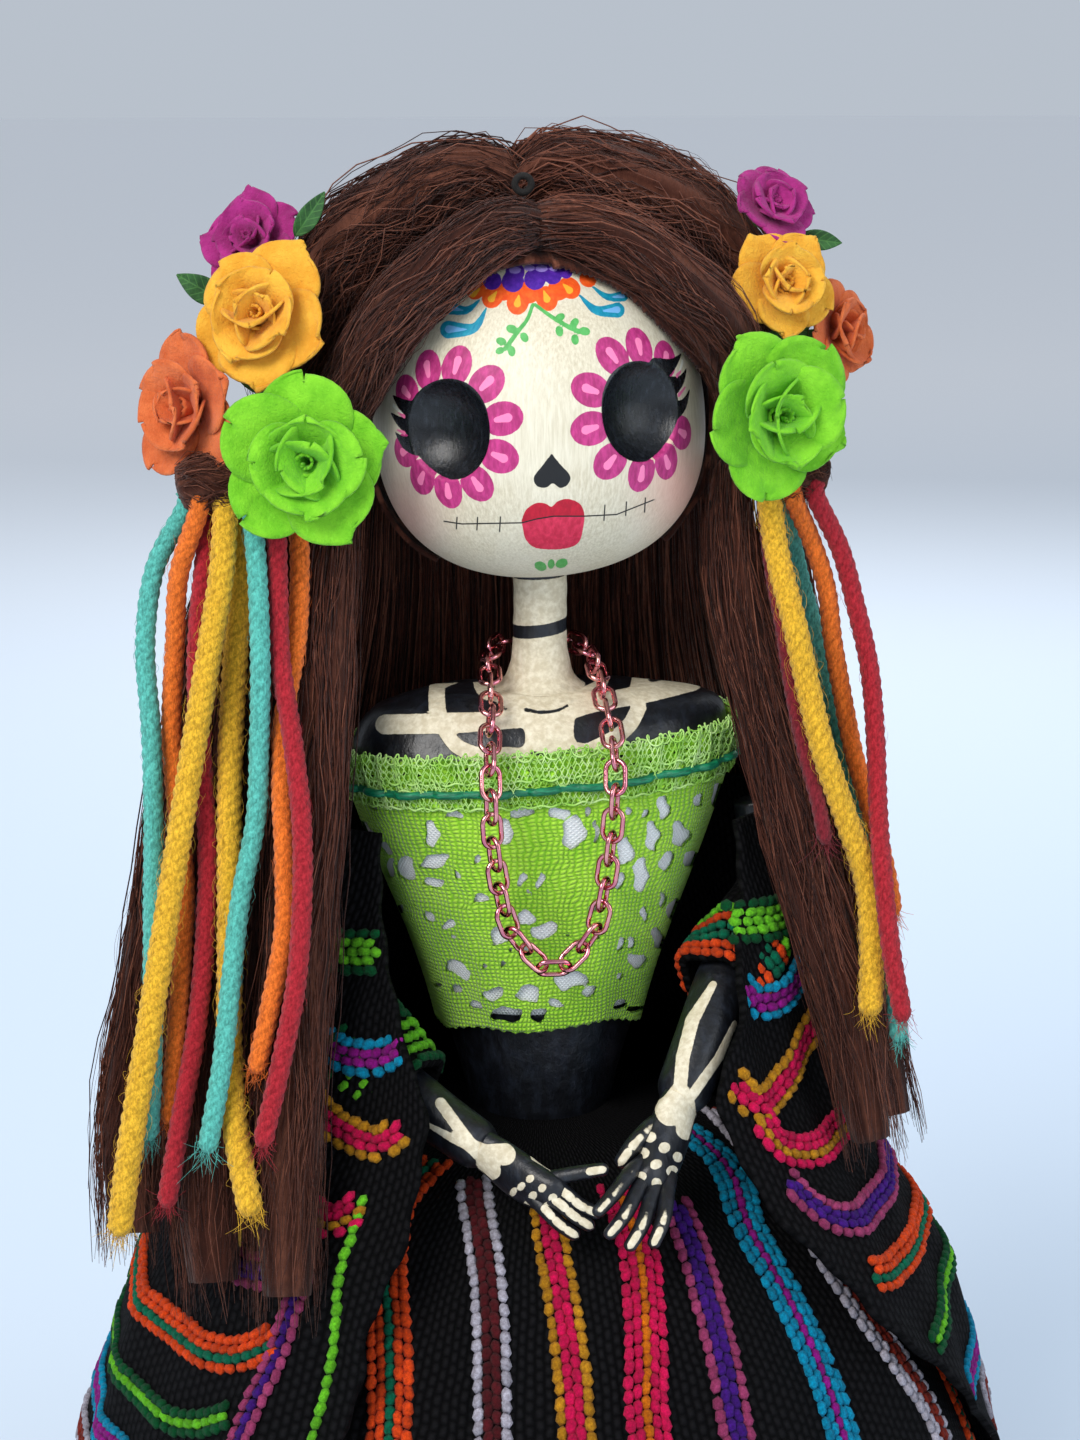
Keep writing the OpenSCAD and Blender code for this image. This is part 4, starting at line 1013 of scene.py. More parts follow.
def limb(rows, step, sides, up=(0.1, 0.3, 1.0), flat=1.0, round_ends=1.0):
    """A smooth painted limb: points, faces, and for each point its axis point, share along and outward
    direction."""
    rows = np.array(rows, float)
    n = max(8, int(np.linalg.norm(np.diff(rows[:, :3], axis=0), axis=1).sum() / step))
    line = spline(rows, n)
    run = np.r_[0, np.cumsum(np.linalg.norm(np.diff(line[:, :3], axis=0), axis=1))]
    radii = line[:, 3] * np.sqrt(
        (
            1 - (1 - np.minimum(run[-1] - run, line[:, 3] * round_ends) / (line[:, 3] * round_ends)) ** 2
        ).clip(0.02))
    points, faces = tubes(line[None, :, :3], radii, sides, up=up, flat=flat)
    axis = np.repeat(line[:, :3], sides, axis=0)
    return points, faces, axis, np.repeat(run, sides), unit(points - axis), run[-1]


ARM_BONES = {
    "left": [
        ([[-17.9, 69], [-12.2, 76.8]], [1.06, 1.16]),
        ([[-20.1, 72.9], [-16, 75.2], [-12.4, 76.8]], [0.39, 0.77, 1.06]),
        ([[-12.2, 76.8], [-9.3, 78.7]], [1.35, 2.03]), ([[-9.3, 78.2], [-6.4, 78.2]], [1.83, 2.03]),
        ([[-9.7, 79.6], [-8.7, 81.2]], [1.83, 1.64]), ([[-0.8, 78.4], [4.5, 81.7]], [0.96, 0.96])],
    "right": [
        ([[31.2, 47.6], [27.4, 54.1], [25.7, 60.8], [25.2, 66.6]], [0.68, 1.25, 1.25, 1.25]),
        ([[35.1, 54.6], [32.2, 60.8], [27.6, 67.3]], [0.48, 0.82, 0.96]),
        ([[25.2, 66.4], [23.5, 70]], [1.45, 2.41]), ([[23.3, 70.2], [23.5, 70.5]], [2.6, 2.6]),
        ([[26.2, 68.6], [26.5, 73.6]], [1.64, 2.03]), ([[16.3, 72.9], [14.1, 78.4]], [1.06, 1.16])],
}
CARPALS = {
    "left": [
        (-1.8, 82.6, 1.11, 0.68, 40), (-3.4, 84, 1.16, 0.63, 50), (-4.8, 85, 1.16, 0.58, 60),
        (-5.9, 86, 0.96, 0.43, 65), (0.4, 84.3, 1.06, 0.72, 40), (-1.3, 85.7, 1.16, 0.72, 45),
        (-2.3, 87.1, 1.16, 0.58, 50), (-3.6, 88.1, 0.96, 0.43, 50), (2.3, 86, 1.16, 0.68, 25),
        (1.2, 87.5, 1.16, 0.63, 35), (-0.2, 88.8, 1.25, 0.58, 35), (-1.5, 90, 1.06, 0.39, 20)],
    "right": [
        (19.9, 75.1, 1.25, 1.06, 110), (22.4, 77, 1.3, 1.06, 110), (24.8, 78.7, 1.25, 0.82, 110),
        (26.4, 79.7, 1.16, 0.43, 80), (18.6, 78, 1.3, 1.11, 110), (20.9, 80, 1.16, 1.11, 110),
        (23.8, 81.2, 1.3, 1.06, 110), (25.6, 82.5, 1.25, 0.43, 80), (16.5, 80.3, 1.06, 0.82, 110),
        (18.3, 82.2, 1.16, 0.92, 110), (21, 83.4, 1.3, 0.92, 110), (23.8, 85, 1.25, 0.72, 110)],
}
hand_paint = black_and_bone("painted_hands", 0.4)
for side in ("left", "right"):
    points, faces, axis, run, outward, length = limb(ARMS[side], 0.4, 56)
    flat_hand = chart(points)
    bone = np.max([stroke(flat_hand, line, radii) for line, radii in ARM_BONES[side]], axis=0) * NEARER
    bone = np.where((outward @ view_back > 0.05) & (run > 0.35 * length), bone, -3)
    arm = make_piece(f"painted_arm_{side}", points, faces, hand_paint, fields={"bone": bone})
    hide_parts(f"arm_{side}")

    points, faces, axis, run, outward, length = limb(
        PALMS[side], 0.22, 72, up=PALM_ACROSS, flat=0.62, round_ends=0.6)
    flat_hand = chart(points)
    bone = np.max(
        [dab(flat_hand, [x, y], 0.76 * a, b, -t) for x, y, a, b, t in CARPALS[side]] + [
            stroke(flat_hand, line, radii)
            for line, radii in ARM_BONES[side]],
        axis=0) * NEARER
    parts, fields = [(points, faces)], [np.where(outward @ view_back > 0.0, bone, -3)]
    for finger in FINGERS[side]:
        points, faces, axis, run, outward, length = limb(finger, 0.25, 28)
        across = np.arccos((outward @ unit(view_back + [0, 0, 0.15])).clip(-1, 1)) * 1.25
        joints = [(0.36, 0.50), (0.60, 0.72), (0.82, 0.93)] if side == "left" else [
            (0.30, 0.44), (0.54, 0.70), (0.80, 0.94)]
        if finger is FINGERS["left"][0]:
            joints = [(0.78, 0.92)]
        bone = np.max(
            [
                0.78 - np.hypot(across, np.maximum(np.maximum(a * length - run, run - b * length), 0))
                for a, b in joints],
            axis=0)
        parts.append((points, faces))
        fields.append(bone)
    hand = make_piece(
        f"painted_hand_{side}", *gather(parts), hand_paint, fields={"bone": np.concatenate(fields)})
    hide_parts(f"hand_{side}")

# %% [markdown]
# ## Lace bodice
# The bodice is a strip of green machine lace over a scrap of white cotton, with a pale net frill and a dark
# ribbon run
# through it. Lace is mostly holes, so the holes are cut out of the grid, and the thread's beads are fine
# relief.

# %% Lace shape
HOLES = [
    (-3.4, 16.5, 2.3, 1.03, 0), (3.2, 16.8, 2.18, 1.03, 0), (-6.2, 20.3, 1.38, 2.64, 0),
    (6.1, 20.3, 2.18, 3.22, 0), (-19.4, 20.7, 1.26, 2.58, 0), (22.2, 15.5, 1.15, 2.41, 0),
    (28.5, 14.5, 0.86, 1.26, 0), (20.2, 21.1, 1.32, 2.76, 0), (25.1, 20.7, 1.72, 2.41, 0),
    (15.3, 23.7, 1.49, 2.58, 0), (22.6, 25.2, 1.26, 2.01, 0), (26.8, 24.6, 1.44, 1.49, 0),
    (18, 27.7, 1.49, 3.16, 0), (14.3, 28.9, 0.8, 1.61, 0), (-18.9, 25.4, 2.64, 1.49, 25),
    (-24, 26.8, 1.61, 2.41, 0), (-19.2, 29.1, 2.07, 0.92, 0), (-3.4, 28.6, 0.86, 1.26, 0),
    (0, 28.6, 0.8, 1.61, 0), (-2.7, 35.6, 1.72, 1.49, 0), (0.9, 37.8, 2.53, 1.49, 15),
    (-7.4, 38.9, 1.72, 1.72, 0), (24.1, 34.6, 1.38, 2.53, 0), (21, 39.2, 1.15, 1.95, 0),
    (-16.3, 36.9, 1.38, 0.86, 0), (-20, 35.4, 1.03, 1.03, 0), (17.4, 43.2, 1.95, 1.26, 10),
    (14.3, 40.4, 0.57, 1.49, 0), (16.2, 40.1, 0.57, 1.26, 0), (5.5, 46.9, 3.33, 1.61, 10),
    (-8.2, 49.4, 2.01, 1.26, 0), (-2.1, 49.3, 2.18, 1.72, 10), (-5.9, 53, 2.99, 1.55, 0),
    (-0.2, 53, 1.38, 1.49, 0), (2.7, 51.1, 1.44, 0.8, 0), (8.8, 48.7, 1.15, 1.15, 0),
    (14, 51.2, 1.44, 0.92, 0), (-14.6, 44.8, 2.64, 1.38, -30), (-11.7, 51.5, 1.49, 0.8, -20),
    (-15.1, 48.4, 1.15, 0.8, 0), (-10.8, 32.2, 1.49, 0.8, 25), (-31.6, 20, 1.44, 2.07, 0),
    (31.8, 13.4, 1.15, 2.41, 0), (-15.3, 17.1, 1.84, 0.57, 0), (8.4, 16.1, 0.75, 1.03, 0),
    (10.1, 20, 0.63, 2.41, 0), (18.7, 34.9, 0.8, 1.49, 0), (21.9, 32.1, 0.69, 1.49, 0),
    (15.6, 16.5, 0.75, 0.86, 0), (18.7, 16.8, 0.69, 0.8, 0), (16.7, 51.9, 1.72, 0.75, 20),
    (-27.5, 22.9, 0.92, 1.38, 0), (-26.9, 26.3, 0.8, 1.72, 0)]
LACE_LOW, LACE_HIGH = 137.6, 186.6
LACE_ROWS, LACE_COLS = 100, 300
lace_v = np.linspace(0, 1, LACE_ROWS)[:, None]
lace_turn = np.linspace(0, 2 * np.pi, LACE_COLS, endpoint=False)[None]
hem = 1.0 * np.sin(2 * lace_turn + 4.4) + 0.45 * np.abs(
    np.sin(28 * lace_turn)) + 0.6 * np.sin(5 * lace_turn + 0.6)
lace_z = LACE_LOW + hem + (LACE_HIGH - LACE_LOW - hem) * lace_v
pucker = 1.0 + 0.35 * np.sin(9 * lace_turn + 2 * lace_v) * (1 - lace_v) + 0.5 * (1 - lace_v) ** 6
lace = torso_point(lace_z, lace_turn, pucker).reshape(-1, 3)
lace_flat = chart(lace)
slow = np.sin(lace_flat[:, ::-1] * (1.62, 1.411) + (3.08, 4.98))
quick = np.sin(lace_flat * (3.658, 2.961) + (0.07, 3.62))
lace_flat = lace_flat + 0.287 * slow + 0.172 * quick
lace_front = lace[:, 1] < -1
hole = np.full(len(lace), -3.0)
for x, y, a, b, t in HOLES:
    hole = np.maximum(hole, np.where(lace_front, dab(lace_flat, [x, y], a * 0.98, b * 0.98, -t) * NEARER, -3))
for x, y, a, b in np.c_[
    rng.uniform(-30.35, 31.09, 90), rng.uniform(14.83, 52.72, 90), rng.uniform(0.402, 0.746, 90),
    rng.uniform(0.459, 1.148, 90)
]:
    spot = dab(lace_flat, [x, y], a, b, 0) * NEARER
    if hole[spot > -0.4].size and hole[spot > -0.4].max() < -0.5:
        hole = np.maximum(hole, np.where(lace_front, spot, -3))
behind = np.stack([lace_turn.ravel()[None].repeat(LACE_ROWS, 0).ravel() * 25, lace[:, 2]], -1)
for x, z, a, b in np.c_[
    rng.uniform(2, 76, 80), rng.uniform(143, 181, 80), rng.uniform(0.8, 2.0, 80), rng.uniform(1.0, 2.4, 80)
]:
    hole = np.maximum(hole, np.where(~lace_front, dab(behind, [x, z], a, b, 0), -3))
edge = np.minimum(lace_z - LACE_LOW - hem, LACE_HIGH - lace_z).ravel()
hole = np.where(edge < 1.2, -1.0, hole)
lace_faces = grid_faces(LACE_ROWS, LACE_COLS, wrap=True)
lace_faces = lace_faces[(hole[lace_faces] < 0.12).any(1)]
lace_uv = np.stack([np.broadcast_to(lace_turn * 25, lace_z.shape), lace_z], -1).reshape(-1, 2)


# %% Lace thread
def lace_base(w):
    """Lime thread: a painted highlight on the beads, painted shade between the rows, deeper green in patches.
    """
    beads = lace_beads(w)
    shade = w.place().noise(0.12, 3).step(0.3, 0.7)
    thread = shade.mix((0.17, 0.46, 0.006), (0.28, 0.60, 0.015))
    # Bead crowns take the bright pair of greens and the dips between them the deeper pair: painted highlight
    # and shade.
    return (1 - beads.step(0.12, 0.75)).mix(shade.mix((0.36, 0.70, 0.03), (0.45, 0.80, 0.06)), thread)


def lace_beads(w):
    """Rows of small raised stitches, a millimetre apart, bent a little by noise."""
    x = w.new("SeparateXYZ", {}, {0: w.uv()})
    y = w.new("SeparateXYZ", {}, {0: w.uv()}, 1)
    bend = (w.place().noise(0.18, 2) - 0.5) * 3.0
    return ((x + bend) * (np.pi / 0.95)).sin().abs() * (
        ((y + bend * 0.6) * (np.pi / 0.8)).sin().abs() * 0.75 + 0.25)


lace_thread = finish(
    "lace_thread", lace_base, 0.78, lambda w: lace_beads(w) + w.place().noise(2.5, 3) * 0.5, 0.35,
    Specular_IOR_Level=0.3, Sheen_Weight=0.25)
open_holes = Wire(lace_thread.node_tree)
lace_thread.node_tree.links.new(
    (1 - open_holes.field("hole").step(-0.04, 0.04)).socket,
    lace_thread.node_tree.nodes["Principled BSDF"].inputs["Alpha"])
lace_piece = make_piece("lace_cloth", lace, lace_faces, lace_thread, uv=lace_uv, fields={"hole": hole})
thicken(lace_piece, 0.45, 0.0)
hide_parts("bodice_lace")

# %% Lining
lining_z = np.linspace(141.2, 185.8, 30)[:, None]
lining_turn = np.linspace(0, 2 * np.pi, 140, endpoint=False)[None]
lining = torso_point(
    lining_z, lining_turn, 0.45 + 0.12 * np.sin(7 * lining_turn + 0.2 * lining_z)).reshape(-1, 3)


def weave(w, pitch):
    """Plain weave: two sets of threads, over and under in turn."""
    x = w.new("SeparateXYZ", {}, {0: w.uv()}) * (np.pi / pitch)
    y = w.new("SeparateXYZ", {}, {0: w.uv()}, 1) * (np.pi / pitch)
    return (x.sin() * y.sin() * 0.5 + 0.5) + x.sin().abs() * 0.3 + y.sin().abs() * 0.3


# White cotton, darker where the weave dips between threads: painted shade.
cotton = finish(
    "lining_cotton", lambda w: weave(w, 0.42).step(0.2, 0.9).mix((0.36, 0.38, 0.38), (0.80, 0.82, 0.82)),
    0.85, lambda w: weave(w, 0.42), 0.12)
lining_piece = make_piece(
    "lining_cloth", lining, grid_faces(30, 140, wrap=True), cotton,
    uv=np.stack(
        [np.broadcast_to(lining_turn * 25, (30, 140)), np.broadcast_to(lining_z, (30, 140))], -1
    ).reshape(-1, 2))
thicken(lining_piece, 0.25, 0.0)
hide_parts("bodice_lining")

# %% [markdown]
# The frill is net: looped threads with air between them. Two families of waving threads cross in it, and a
# row of loops
# stands along its upper edge. The ribbon goes over and under them like a running stitch.

# %% Frill threads
FRILL_LOW, FRILL_HIGH = 181.2, 191.2


def frill_line(level, phase, waves, n=900):
    """A thread that waves about its level all round the chest; the next one waves the other way, so the two
    make meshes."""
    turn = np.linspace(0, 2 * np.pi, n)
    z = FRILL_LOW + 0.6 + (FRILL_HIGH - FRILL_LOW - 1.2) * level + 0.85 * np.sin(
        waves * turn + phase + 0.8 * np.sin(7 * turn + 9 * level)) + 0.3 * np.sin(23 * turn + 5 * level)
    out = 2.0 + 0.35 * np.sin(
        0.5 * waves * turn + 2 * phase
    ) + 0.5 * np.sin(17 * turn + 3 * level) * level + 1.2 * ((z - FRILL_LOW) / 10) ** 2
    return torso_point(z.clip(FRILL_LOW, FRILL_HIGH), turn, out)


net_lines = np.stack(
    [frill_line(level, phase, 104) for level in np.linspace(0.04, 0.96, 7) for phase in (0, np.pi)])
frill_rows = np.stack(
    [
        torso_point(
            z + 0.25 * np.sin(60 * lace_turn[0]), lace_turn[0], 2.1 + 0.3 * np.sin(37 * lace_turn[0] + z))
        for z in (181.6, 184.8, 186.2, 190.6)])
frill_rows = np.concatenate([frill_rows, frill_rows[:, :1]], axis=1)
loop_share = np.linspace(0, 2 * np.pi, 1800)
top_loops = torso_point(
    190.6 + 0.9 * np.sin(96 * loop_share), loop_share + 0.022 * np.cos(96 * loop_share),
    2.9 + 0.4 * np.cos(48 * loop_share))
net_thread = finish(
    "net_thread",
    lambda w: w.place().noise(0.2, 3).step(0.3, 0.7).mix((0.32, 0.64, 0.08), (0.60, 0.84, 0.34)), 0.7,
    Specular_IOR_Level=0.3)
frill = make_piece(
    "frill_net",
    *gather(
        [
            tubes(net_lines, 0.13, 3, up=(0.0, 0.0, 1.0)), tubes(frill_rows, 0.2, 4, up=(0.0, 0.0, 1.0)),
            tubes(top_loops[None], 0.16, 4, up=(0.1, 0.2, 1.0))]),
    net_thread)
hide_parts("lace_frill")
flounce_z = np.linspace(181.4, 190.2, 12)[:, None]
flounce = torso_point(
    flounce_z, lace_turn, 1.5 + 0.5 * np.sin(46 * lace_turn + 0.5 * flounce_z) * ((flounce_z - 181) / 9)
).reshape(-1, 3)
flounce_piece = make_piece(
    "frill_cloth", flounce, grid_faces(12, LACE_COLS, wrap=True), lace_thread,
    uv=np.stack(
        [np.broadcast_to(lace_turn * 25, (12, LACE_COLS)), np.broadcast_to(flounce_z, (12, LACE_COLS))], -1
    ).reshape(-1, 2),
    fields={
        "hole": (
            np.sin(
                60 * np.broadcast_to(lace_turn, (12, LACE_COLS)).ravel()) * np.sin(2.2 * flounce[:, 2]) * 0.5
            - 0.28)})
thicken(flounce_piece, 0.25, 0.0)

# %% Ribbon
ribbon_turn = np.linspace(0, 2 * np.pi, 900)
ribbon_line = torso_point(
    184.3 + 0.15 * np.sin(11 * ribbon_turn), ribbon_turn, 2.45 + 0.5 * np.tanh(3 * np.sin(26 * ribbon_turn)))
satin = finish(
    "ribbon_satin",
    lambda w: w.place().noise(0.5, 3, 0.6, (1, 1, 6)).step(0.3, 0.7).mix(
        (0.0, 0.10, 0.045), (0.005, 0.24, 0.11)),
    0.42, lambda w: w.place().noise(1.4, 2, 0.6, (1, 1, 8)), 0.08)
ribbon = make_piece("ribbon_run", *tubes(ribbon_line[None], 0.75, 10, up=(0.0, 0.0, 1.0), flat=0.95), satin)
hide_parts("frill_ribbon")

# %% [markdown]
# ## Hair
# The hair is dyed wool roving, laid on in soft rolls and locks. Each mass is a grooved core under hundreds
# of thin strands
# that follow it, with a few loose fibres standing off, because a smooth tube would read as plastic.

# %% Hair material
HAIR_DARK, HAIR_MID, HAIR_LIGHT = np.array(
    [0.028, 0.0085, 0.0055]), np.array([0.125, 0.036, 0.020]), np.array([0.33, 0.120, 0.070])


def hair_base(w):
    """Each strand's own brown, with short fibres lighter and darker along it."""
    fibres = w.place().noise(1.1, 4, 0.7, (1, 1, 0.3)).step(0.25, 0.8)
    return (fibres * 0.75).mix(
        w.new(
            "Mix", {"data_type": "RGBA", "blend_type": "MULTIPLY"},
            {0: 1.0, 6: w.tint(), 7: (0.45, 0.42, 0.42)}, 2),
        w.tint())


hair_wool = finish(
    "hair_wool", hair_base, 0.85, lambda w: w.place().noise(1.6, 4, 0.7, (1, 1, 0.3)), 0.3,
    Specular_IOR_Level=0.12, Sheen_Weight=0.1, Sheen_Roughness=0.5)


def browns(count, light=0.5):
    """A brown for each strand, most of them in the middle of the range."""
    x = (rng.beta(1.6, 2.2, (count, 1)) * (0.6 + light)).clip(0, 1)
    low, high = HAIR_DARK + (HAIR_MID - HAIR_DARK) * (2 * x).clip(0, 1), (
        HAIR_LIGHT - HAIR_MID) * (2 * x - 1).clip(0, 1)
    return low + high


# %% Strands
def along_lock(line, places):
    """Points of a line at shares along it, where shares over 1 run on past its end."""
    longer = np.r_[line, line[-1:] + (line[-1:] - line[-4:-3]) * len(line) / 3 * 0.25]
    at = places * (len(line) - 1)
    index = np.r_[np.arange(len(line)), (len(line) - 1) * 1.25]
    return np.stack([np.interp(at, index, longer[:, k]) for k in range(line.shape[1])], -1)


def lock(
    name, rows, strands, up=(0.25, 1.0, 0.15), twist=0.8, thick=0.135, body_points=46, tail=True, light=0.5,
    points=20, node=None,
):
    """A lock: a core whose outline is grooved by a few sines, strands laid on it, and loose fibres round
    it."""
    line = spline(rows, body_points)
    centre, radius = line[:, :3], line[:, 3]
    end = np.linspace(0, 1, body_points)
    taper = np.sqrt((1 - (1 - end / 0.04).clip(0) ** 2).clip(0.05)) * np.where(
        end > 0.72,
        1 - 0.3 * ((end - 0.72) / 0.28) ** 2 if tail else np.sqrt(
            (1 - ((end - 0.96) / 0.04).clip(0) ** 2).clip(0.05)),
        1)
    a = np.arange(30) * 2 * np.pi / 30
    p = rng.uniform(0, 6, 4)
    grooves = 0.92 + 0.06 * np.sin(
        4 * a + p[0] + 2.5 * end[:, None]
    ) + 0.05 * np.sin(9 * a + p[1] - 4 * end[:, None]) + 0.03 * np.sin(15 * a + p[2] + 7 * end[:, None])
    core_points, core_faces = tubes(centre[None], radius * taper, 30, up=up, outline=grooves[None])
    side, other = frames(centre[None], up)
    guide = np.c_[centre, radius, side[0], other[0]]
    start = rng.uniform(0, 0.10, (strands, 1))
    stop = rng.uniform(0.86, 1.05, (strands, 1)) if tail else rng.uniform(0.88, 1.0, (strands, 1))
    places = start + (stop - start) * np.linspace(0, 1, points)
    g = along_lock(guide, places)
    tuft = rng.uniform(0, 2 * np.pi, (40, 4))[rng.integers(0, 40, strands)]
    swing = tuft[:, :1] + rng.normal(0, 0.16, (strands, 1)) + twist * (
        0.5 * np.sin(tuft[:, 1:2]) + rng.normal(0.1, 0.2, (strands, 1))) * places
    swing = swing + 0.20 * np.sin(15 * places + tuft[:, 2:3]) + 0.09 * np.sin(
        41 * places + rng.uniform(0, 6, (strands, 1)))
    stout = np.where(rng.random((strands, 1)) < 0.08, 1.2, 1.0) * rng.uniform(0.86, 1.06, (strands, 1))
    ripple = rng.uniform(0, 6, (strands, 1))
    loose = stout * (1 + 0.06 * np.sin(19 * places + tuft[:, 3:4]) + 0.035 * np.sin(37 * places + ripple))
    if not tail:
        loose = loose * np.sqrt((1 - (2 * places - 1).clip(-1, 1) ** 24)).clip(0.45)
    off = g[..., 3:4] * loose[..., None] * (
        np.cos(swing)[..., None] * g[..., 4:7] + np.sin(swing)[..., None] * g[..., 7:10])
    if tail:
        wave = 0.6 * places * np.sin(25 * places + tuft[:, 3:4] + rng.normal(0, 0.3, (strands, 1)))
        off = off + wave[..., None] * (
            np.cos(tuft[:, 1:2])[..., None] * g[..., 4:7] + np.sin(tuft[:, 1:2])[..., None] * g[..., 7:10])
    width = thick * rng.uniform(0.5, 1.3, (strands, 1)) * (1 - 0.65 * np.linspace(0, 1, points) ** 3)
    strand_points, strand_faces = tubes(g[..., :3] + off, width, 3, up=up)
    wild = strands // 4
    hair_line = along_lock(
        guide,
        rng.uniform(0.03, 0.9, (wild, 1)) + np.linspace(0, 0.16, 7) * rng.uniform(0.4, 1.2, (wild, 1)))
    lift = hair_line[..., 3:4] * (
        1 + 0.28 * rng.uniform(0.1, 1, (wild, 1, 1)) * np.sin(np.linspace(0, 2.6, 7))[None, :, None])
    angle = rng.uniform(
        0, 2 * np.pi, (wild, 1, 1)) + np.linspace(0, 0.5, 7)[None, :, None] * rng.normal(0, 1, (wild, 1, 1))
    wild_points, wild_faces = tubes(
        hair_line[..., :3] + lift * (
            np.cos(angle) * hair_line[..., 4:7] + np.sin(angle) * hair_line[..., 7:10]),
        0.032, 3, up=up)
    # The core takes seven tenths of a strand's brown: painted shade under the strands.
    tint = np.r_[
        np.repeat(browns(30, light)[None] * 0.7, body_points, 0).reshape(-1, 3),
        per_tube(browns(strands, light), points, 3), per_tube(browns(wild, 0.5), 7, 3)]
    piece = make_piece(
        name,
        *gather([(core_points, core_faces), (strand_points, strand_faces), (wild_points, wild_faces)]),
        hair_wool, tint=tint)
    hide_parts(node or name.replace("_wool", ""))
    return piece


# %% Locks at the sides
LOCKS = {
    "hair_lock_left_1": [
        (-35.5, -7, 240, 3), (-39, -12, 215, 5), (-42.5, -23, 185, 6), (-46.5, -32, 155, 6.3),
        (-49, -42, 128, 6.3), (-50, -50, 106, 6.0)],
    "hair_lock_left_2": [
        (-46, -2, 236, 3), (-50, -6, 212, 5.5), (-55, -14, 180, 6.2), (-59.5, -23, 150, 6.8),
        (-62, -33, 125, 6.8), (-62, -40, 105, 6.4)],
    "hair_lock_left_3": [
        (-48, 8, 236, 3), (-56, 8, 212, 5.5), (-63, 3, 180, 6.5), (-69, -5, 150, 7), (-74, -15, 125, 7),
        (-75, -22, 107, 6.6)],
    "hair_lock_right_1": [
        (32.5, -5.5, 240, 3), (32.5, -12, 220, 4.8), (38, -16, 195, 5.3), (44, -21, 170, 5.6),
        (50.5, -26, 145, 5.6), (55, -31, 121, 5.2)],
    "hair_lock_right_2": [
        (44, 0, 238, 3), (45, 1, 212, 4.8), (49, -1, 190, 5), (55, -3, 165, 5.6), (59.5, -8, 140, 5.6),
        (63, -15, 119, 5.4)],
}
for name, rows in LOCKS.items():
    lock(name + "_wool", rows, 290, light=0.5, points=18)

# %% Rolls over the crown and at the forehead
PARTING_TURN, ROLL_AWAY = 95, 40.5


def crown_point(degrees, away, y):
    """A point at an angle about the middle of the head, in the plane that faces the front."""
    a = np.radians(degrees)
    return [HEAD_MID[0] + away * np.cos(a), y, HEAD_MID[2] + away * np.sin(a)]


for side, label in ((1, "left"), (-1, "right")):
    shares = np.arange(7) / 6
    rows = [
        (
            *crown_point(PARTING_TURN + side * (7.5 + 82 * s), ROLL_AWAY + s, 3 - 3 * s),
            5.2 + 5.2 * np.sin(np.radians(30 + 130 * s)))
        for s in shares]
    rows = [(*crown_point(PARTING_TURN - side * 1.5, ROLL_AWAY - 6.5, 3.5), 5.0)] + rows
    lock(
        f"hair_puff_{label}_wool", rows, 500, up=(0.0, 1.0, 0.15), twist=1.6, tail=False, light=0.6,
        thick=0.14, points=16)
    s = -side
    band = [
        (-3 - 1.5 * s, -14, 280.4, 3.9), (-2.5 + 6 * s, -17.5, 280.5, 4.8),
        (-1.5 + 15 * s, -20, 276.5, 5.4), (-0.5 + 27 * s, -19.5, 266, 5.5),
        (-0.5 + 34.5 * s, -14, 252, 4.8), (-0.5 + 37 * s, -9, 242, 3.8)]
    lock(
        f"hair_band_{label}_wool", band, 420, up=(0.0, 1.0, 0.2), twist=0.8, tail=False, light=0.55,
        thick=0.13, points=14)

for side, x0, x1, y in (("left", -64, -42, -16), ("right", 35.5, 48.5, -14.2)):
    tuft_rows = [(x0, y, 237.6, 3.6), (x0 + 5, y, 238.4, 4.8), (x1 - 5, y, 238.4, 4.8), (x1, y, 237.6, 3.6)]
    tuft_piece = lock(
        f"yarn_tuft_{side}", tuft_rows, 260, up=(0.0, 1.0, 0.15), twist=2.2, tail=False, light=0.45,
        thick=0.10, points=10, node=f"yarn_band_{side}")

# %% [markdown]
# Under the rolls a thin layer of the same wool covers the crown, down to the hairline over the forehead.

# %% Cap
HAIRLINE = np.array(
    [
        [-41.1, -50.8], [-30.7, -58.6], [-28.5, -62.1], [-24.6, -66.9], [-20.2, -71.7], [-17.6, -75],
        [-13.2, -77.9], [-10.2, -79], [-6.2, -81.1], [-1.9, -81.7], [4.7, -80.8], [10.4, -79.1],
        [15.6, -76.2], [20, -71.8], [24.3, -67.4], [27.4, -63.8], [41.8, -50.8]])
cap_rings = smooth_head[1:-1].reshape(HEAD_ROWS - 2, HEAD_COLS, 3)[::2, ::2]
cap_head = np.concatenate([smooth_head[:1], cap_rings.reshape(-1, 3), smooth_head[-1:]])
cap_out = cap_head * (
    1.035 + 0.008 * np.sin(26 * np.arctan2(cap_head[:, 0], 20 - cap_head[:, 1]) + 0.3 * cap_head[:, 2])
)[:, None]
cap_flat = chart(head_to_world(cap_out))
above = np.interp(cap_flat[:, 0], HAIRLINE[:, 0], HAIRLINE[:, 1]) - cap_flat[:, 1]
covered = np.where(cap_head[:, 1] < 0, above > 0, cap_head[:, 2] > -23)
cap_faces = closed_faces(len(cap_rings) + 2, cap_rings.shape[1])
cap_faces = [f[covered[f].all(1)] for f in cap_faces]
cap_faces = [f for f in cap_faces if len(f)]
used = np.unique(np.concatenate([f.ravel() for f in cap_faces]))
renumber = np.zeros(len(cap_out), int)
renumber[used] = np.arange(len(used))
cap_turn = np.arctan2(cap_out[used, 0], -cap_out[used, 1])
cap_tint = browns(120, 0.5)[(np.abs(cap_turn) * 18 + 0.4 * cap_out[used, 2]).astype(int) % 120]
cap = make_piece(
    "hair_cap", head_to_world(cap_out)[used], [renumber[f] for f in cap_faces], hair_wool, tint=cap_tint)
thicken(cap, 0.9, 1.0)

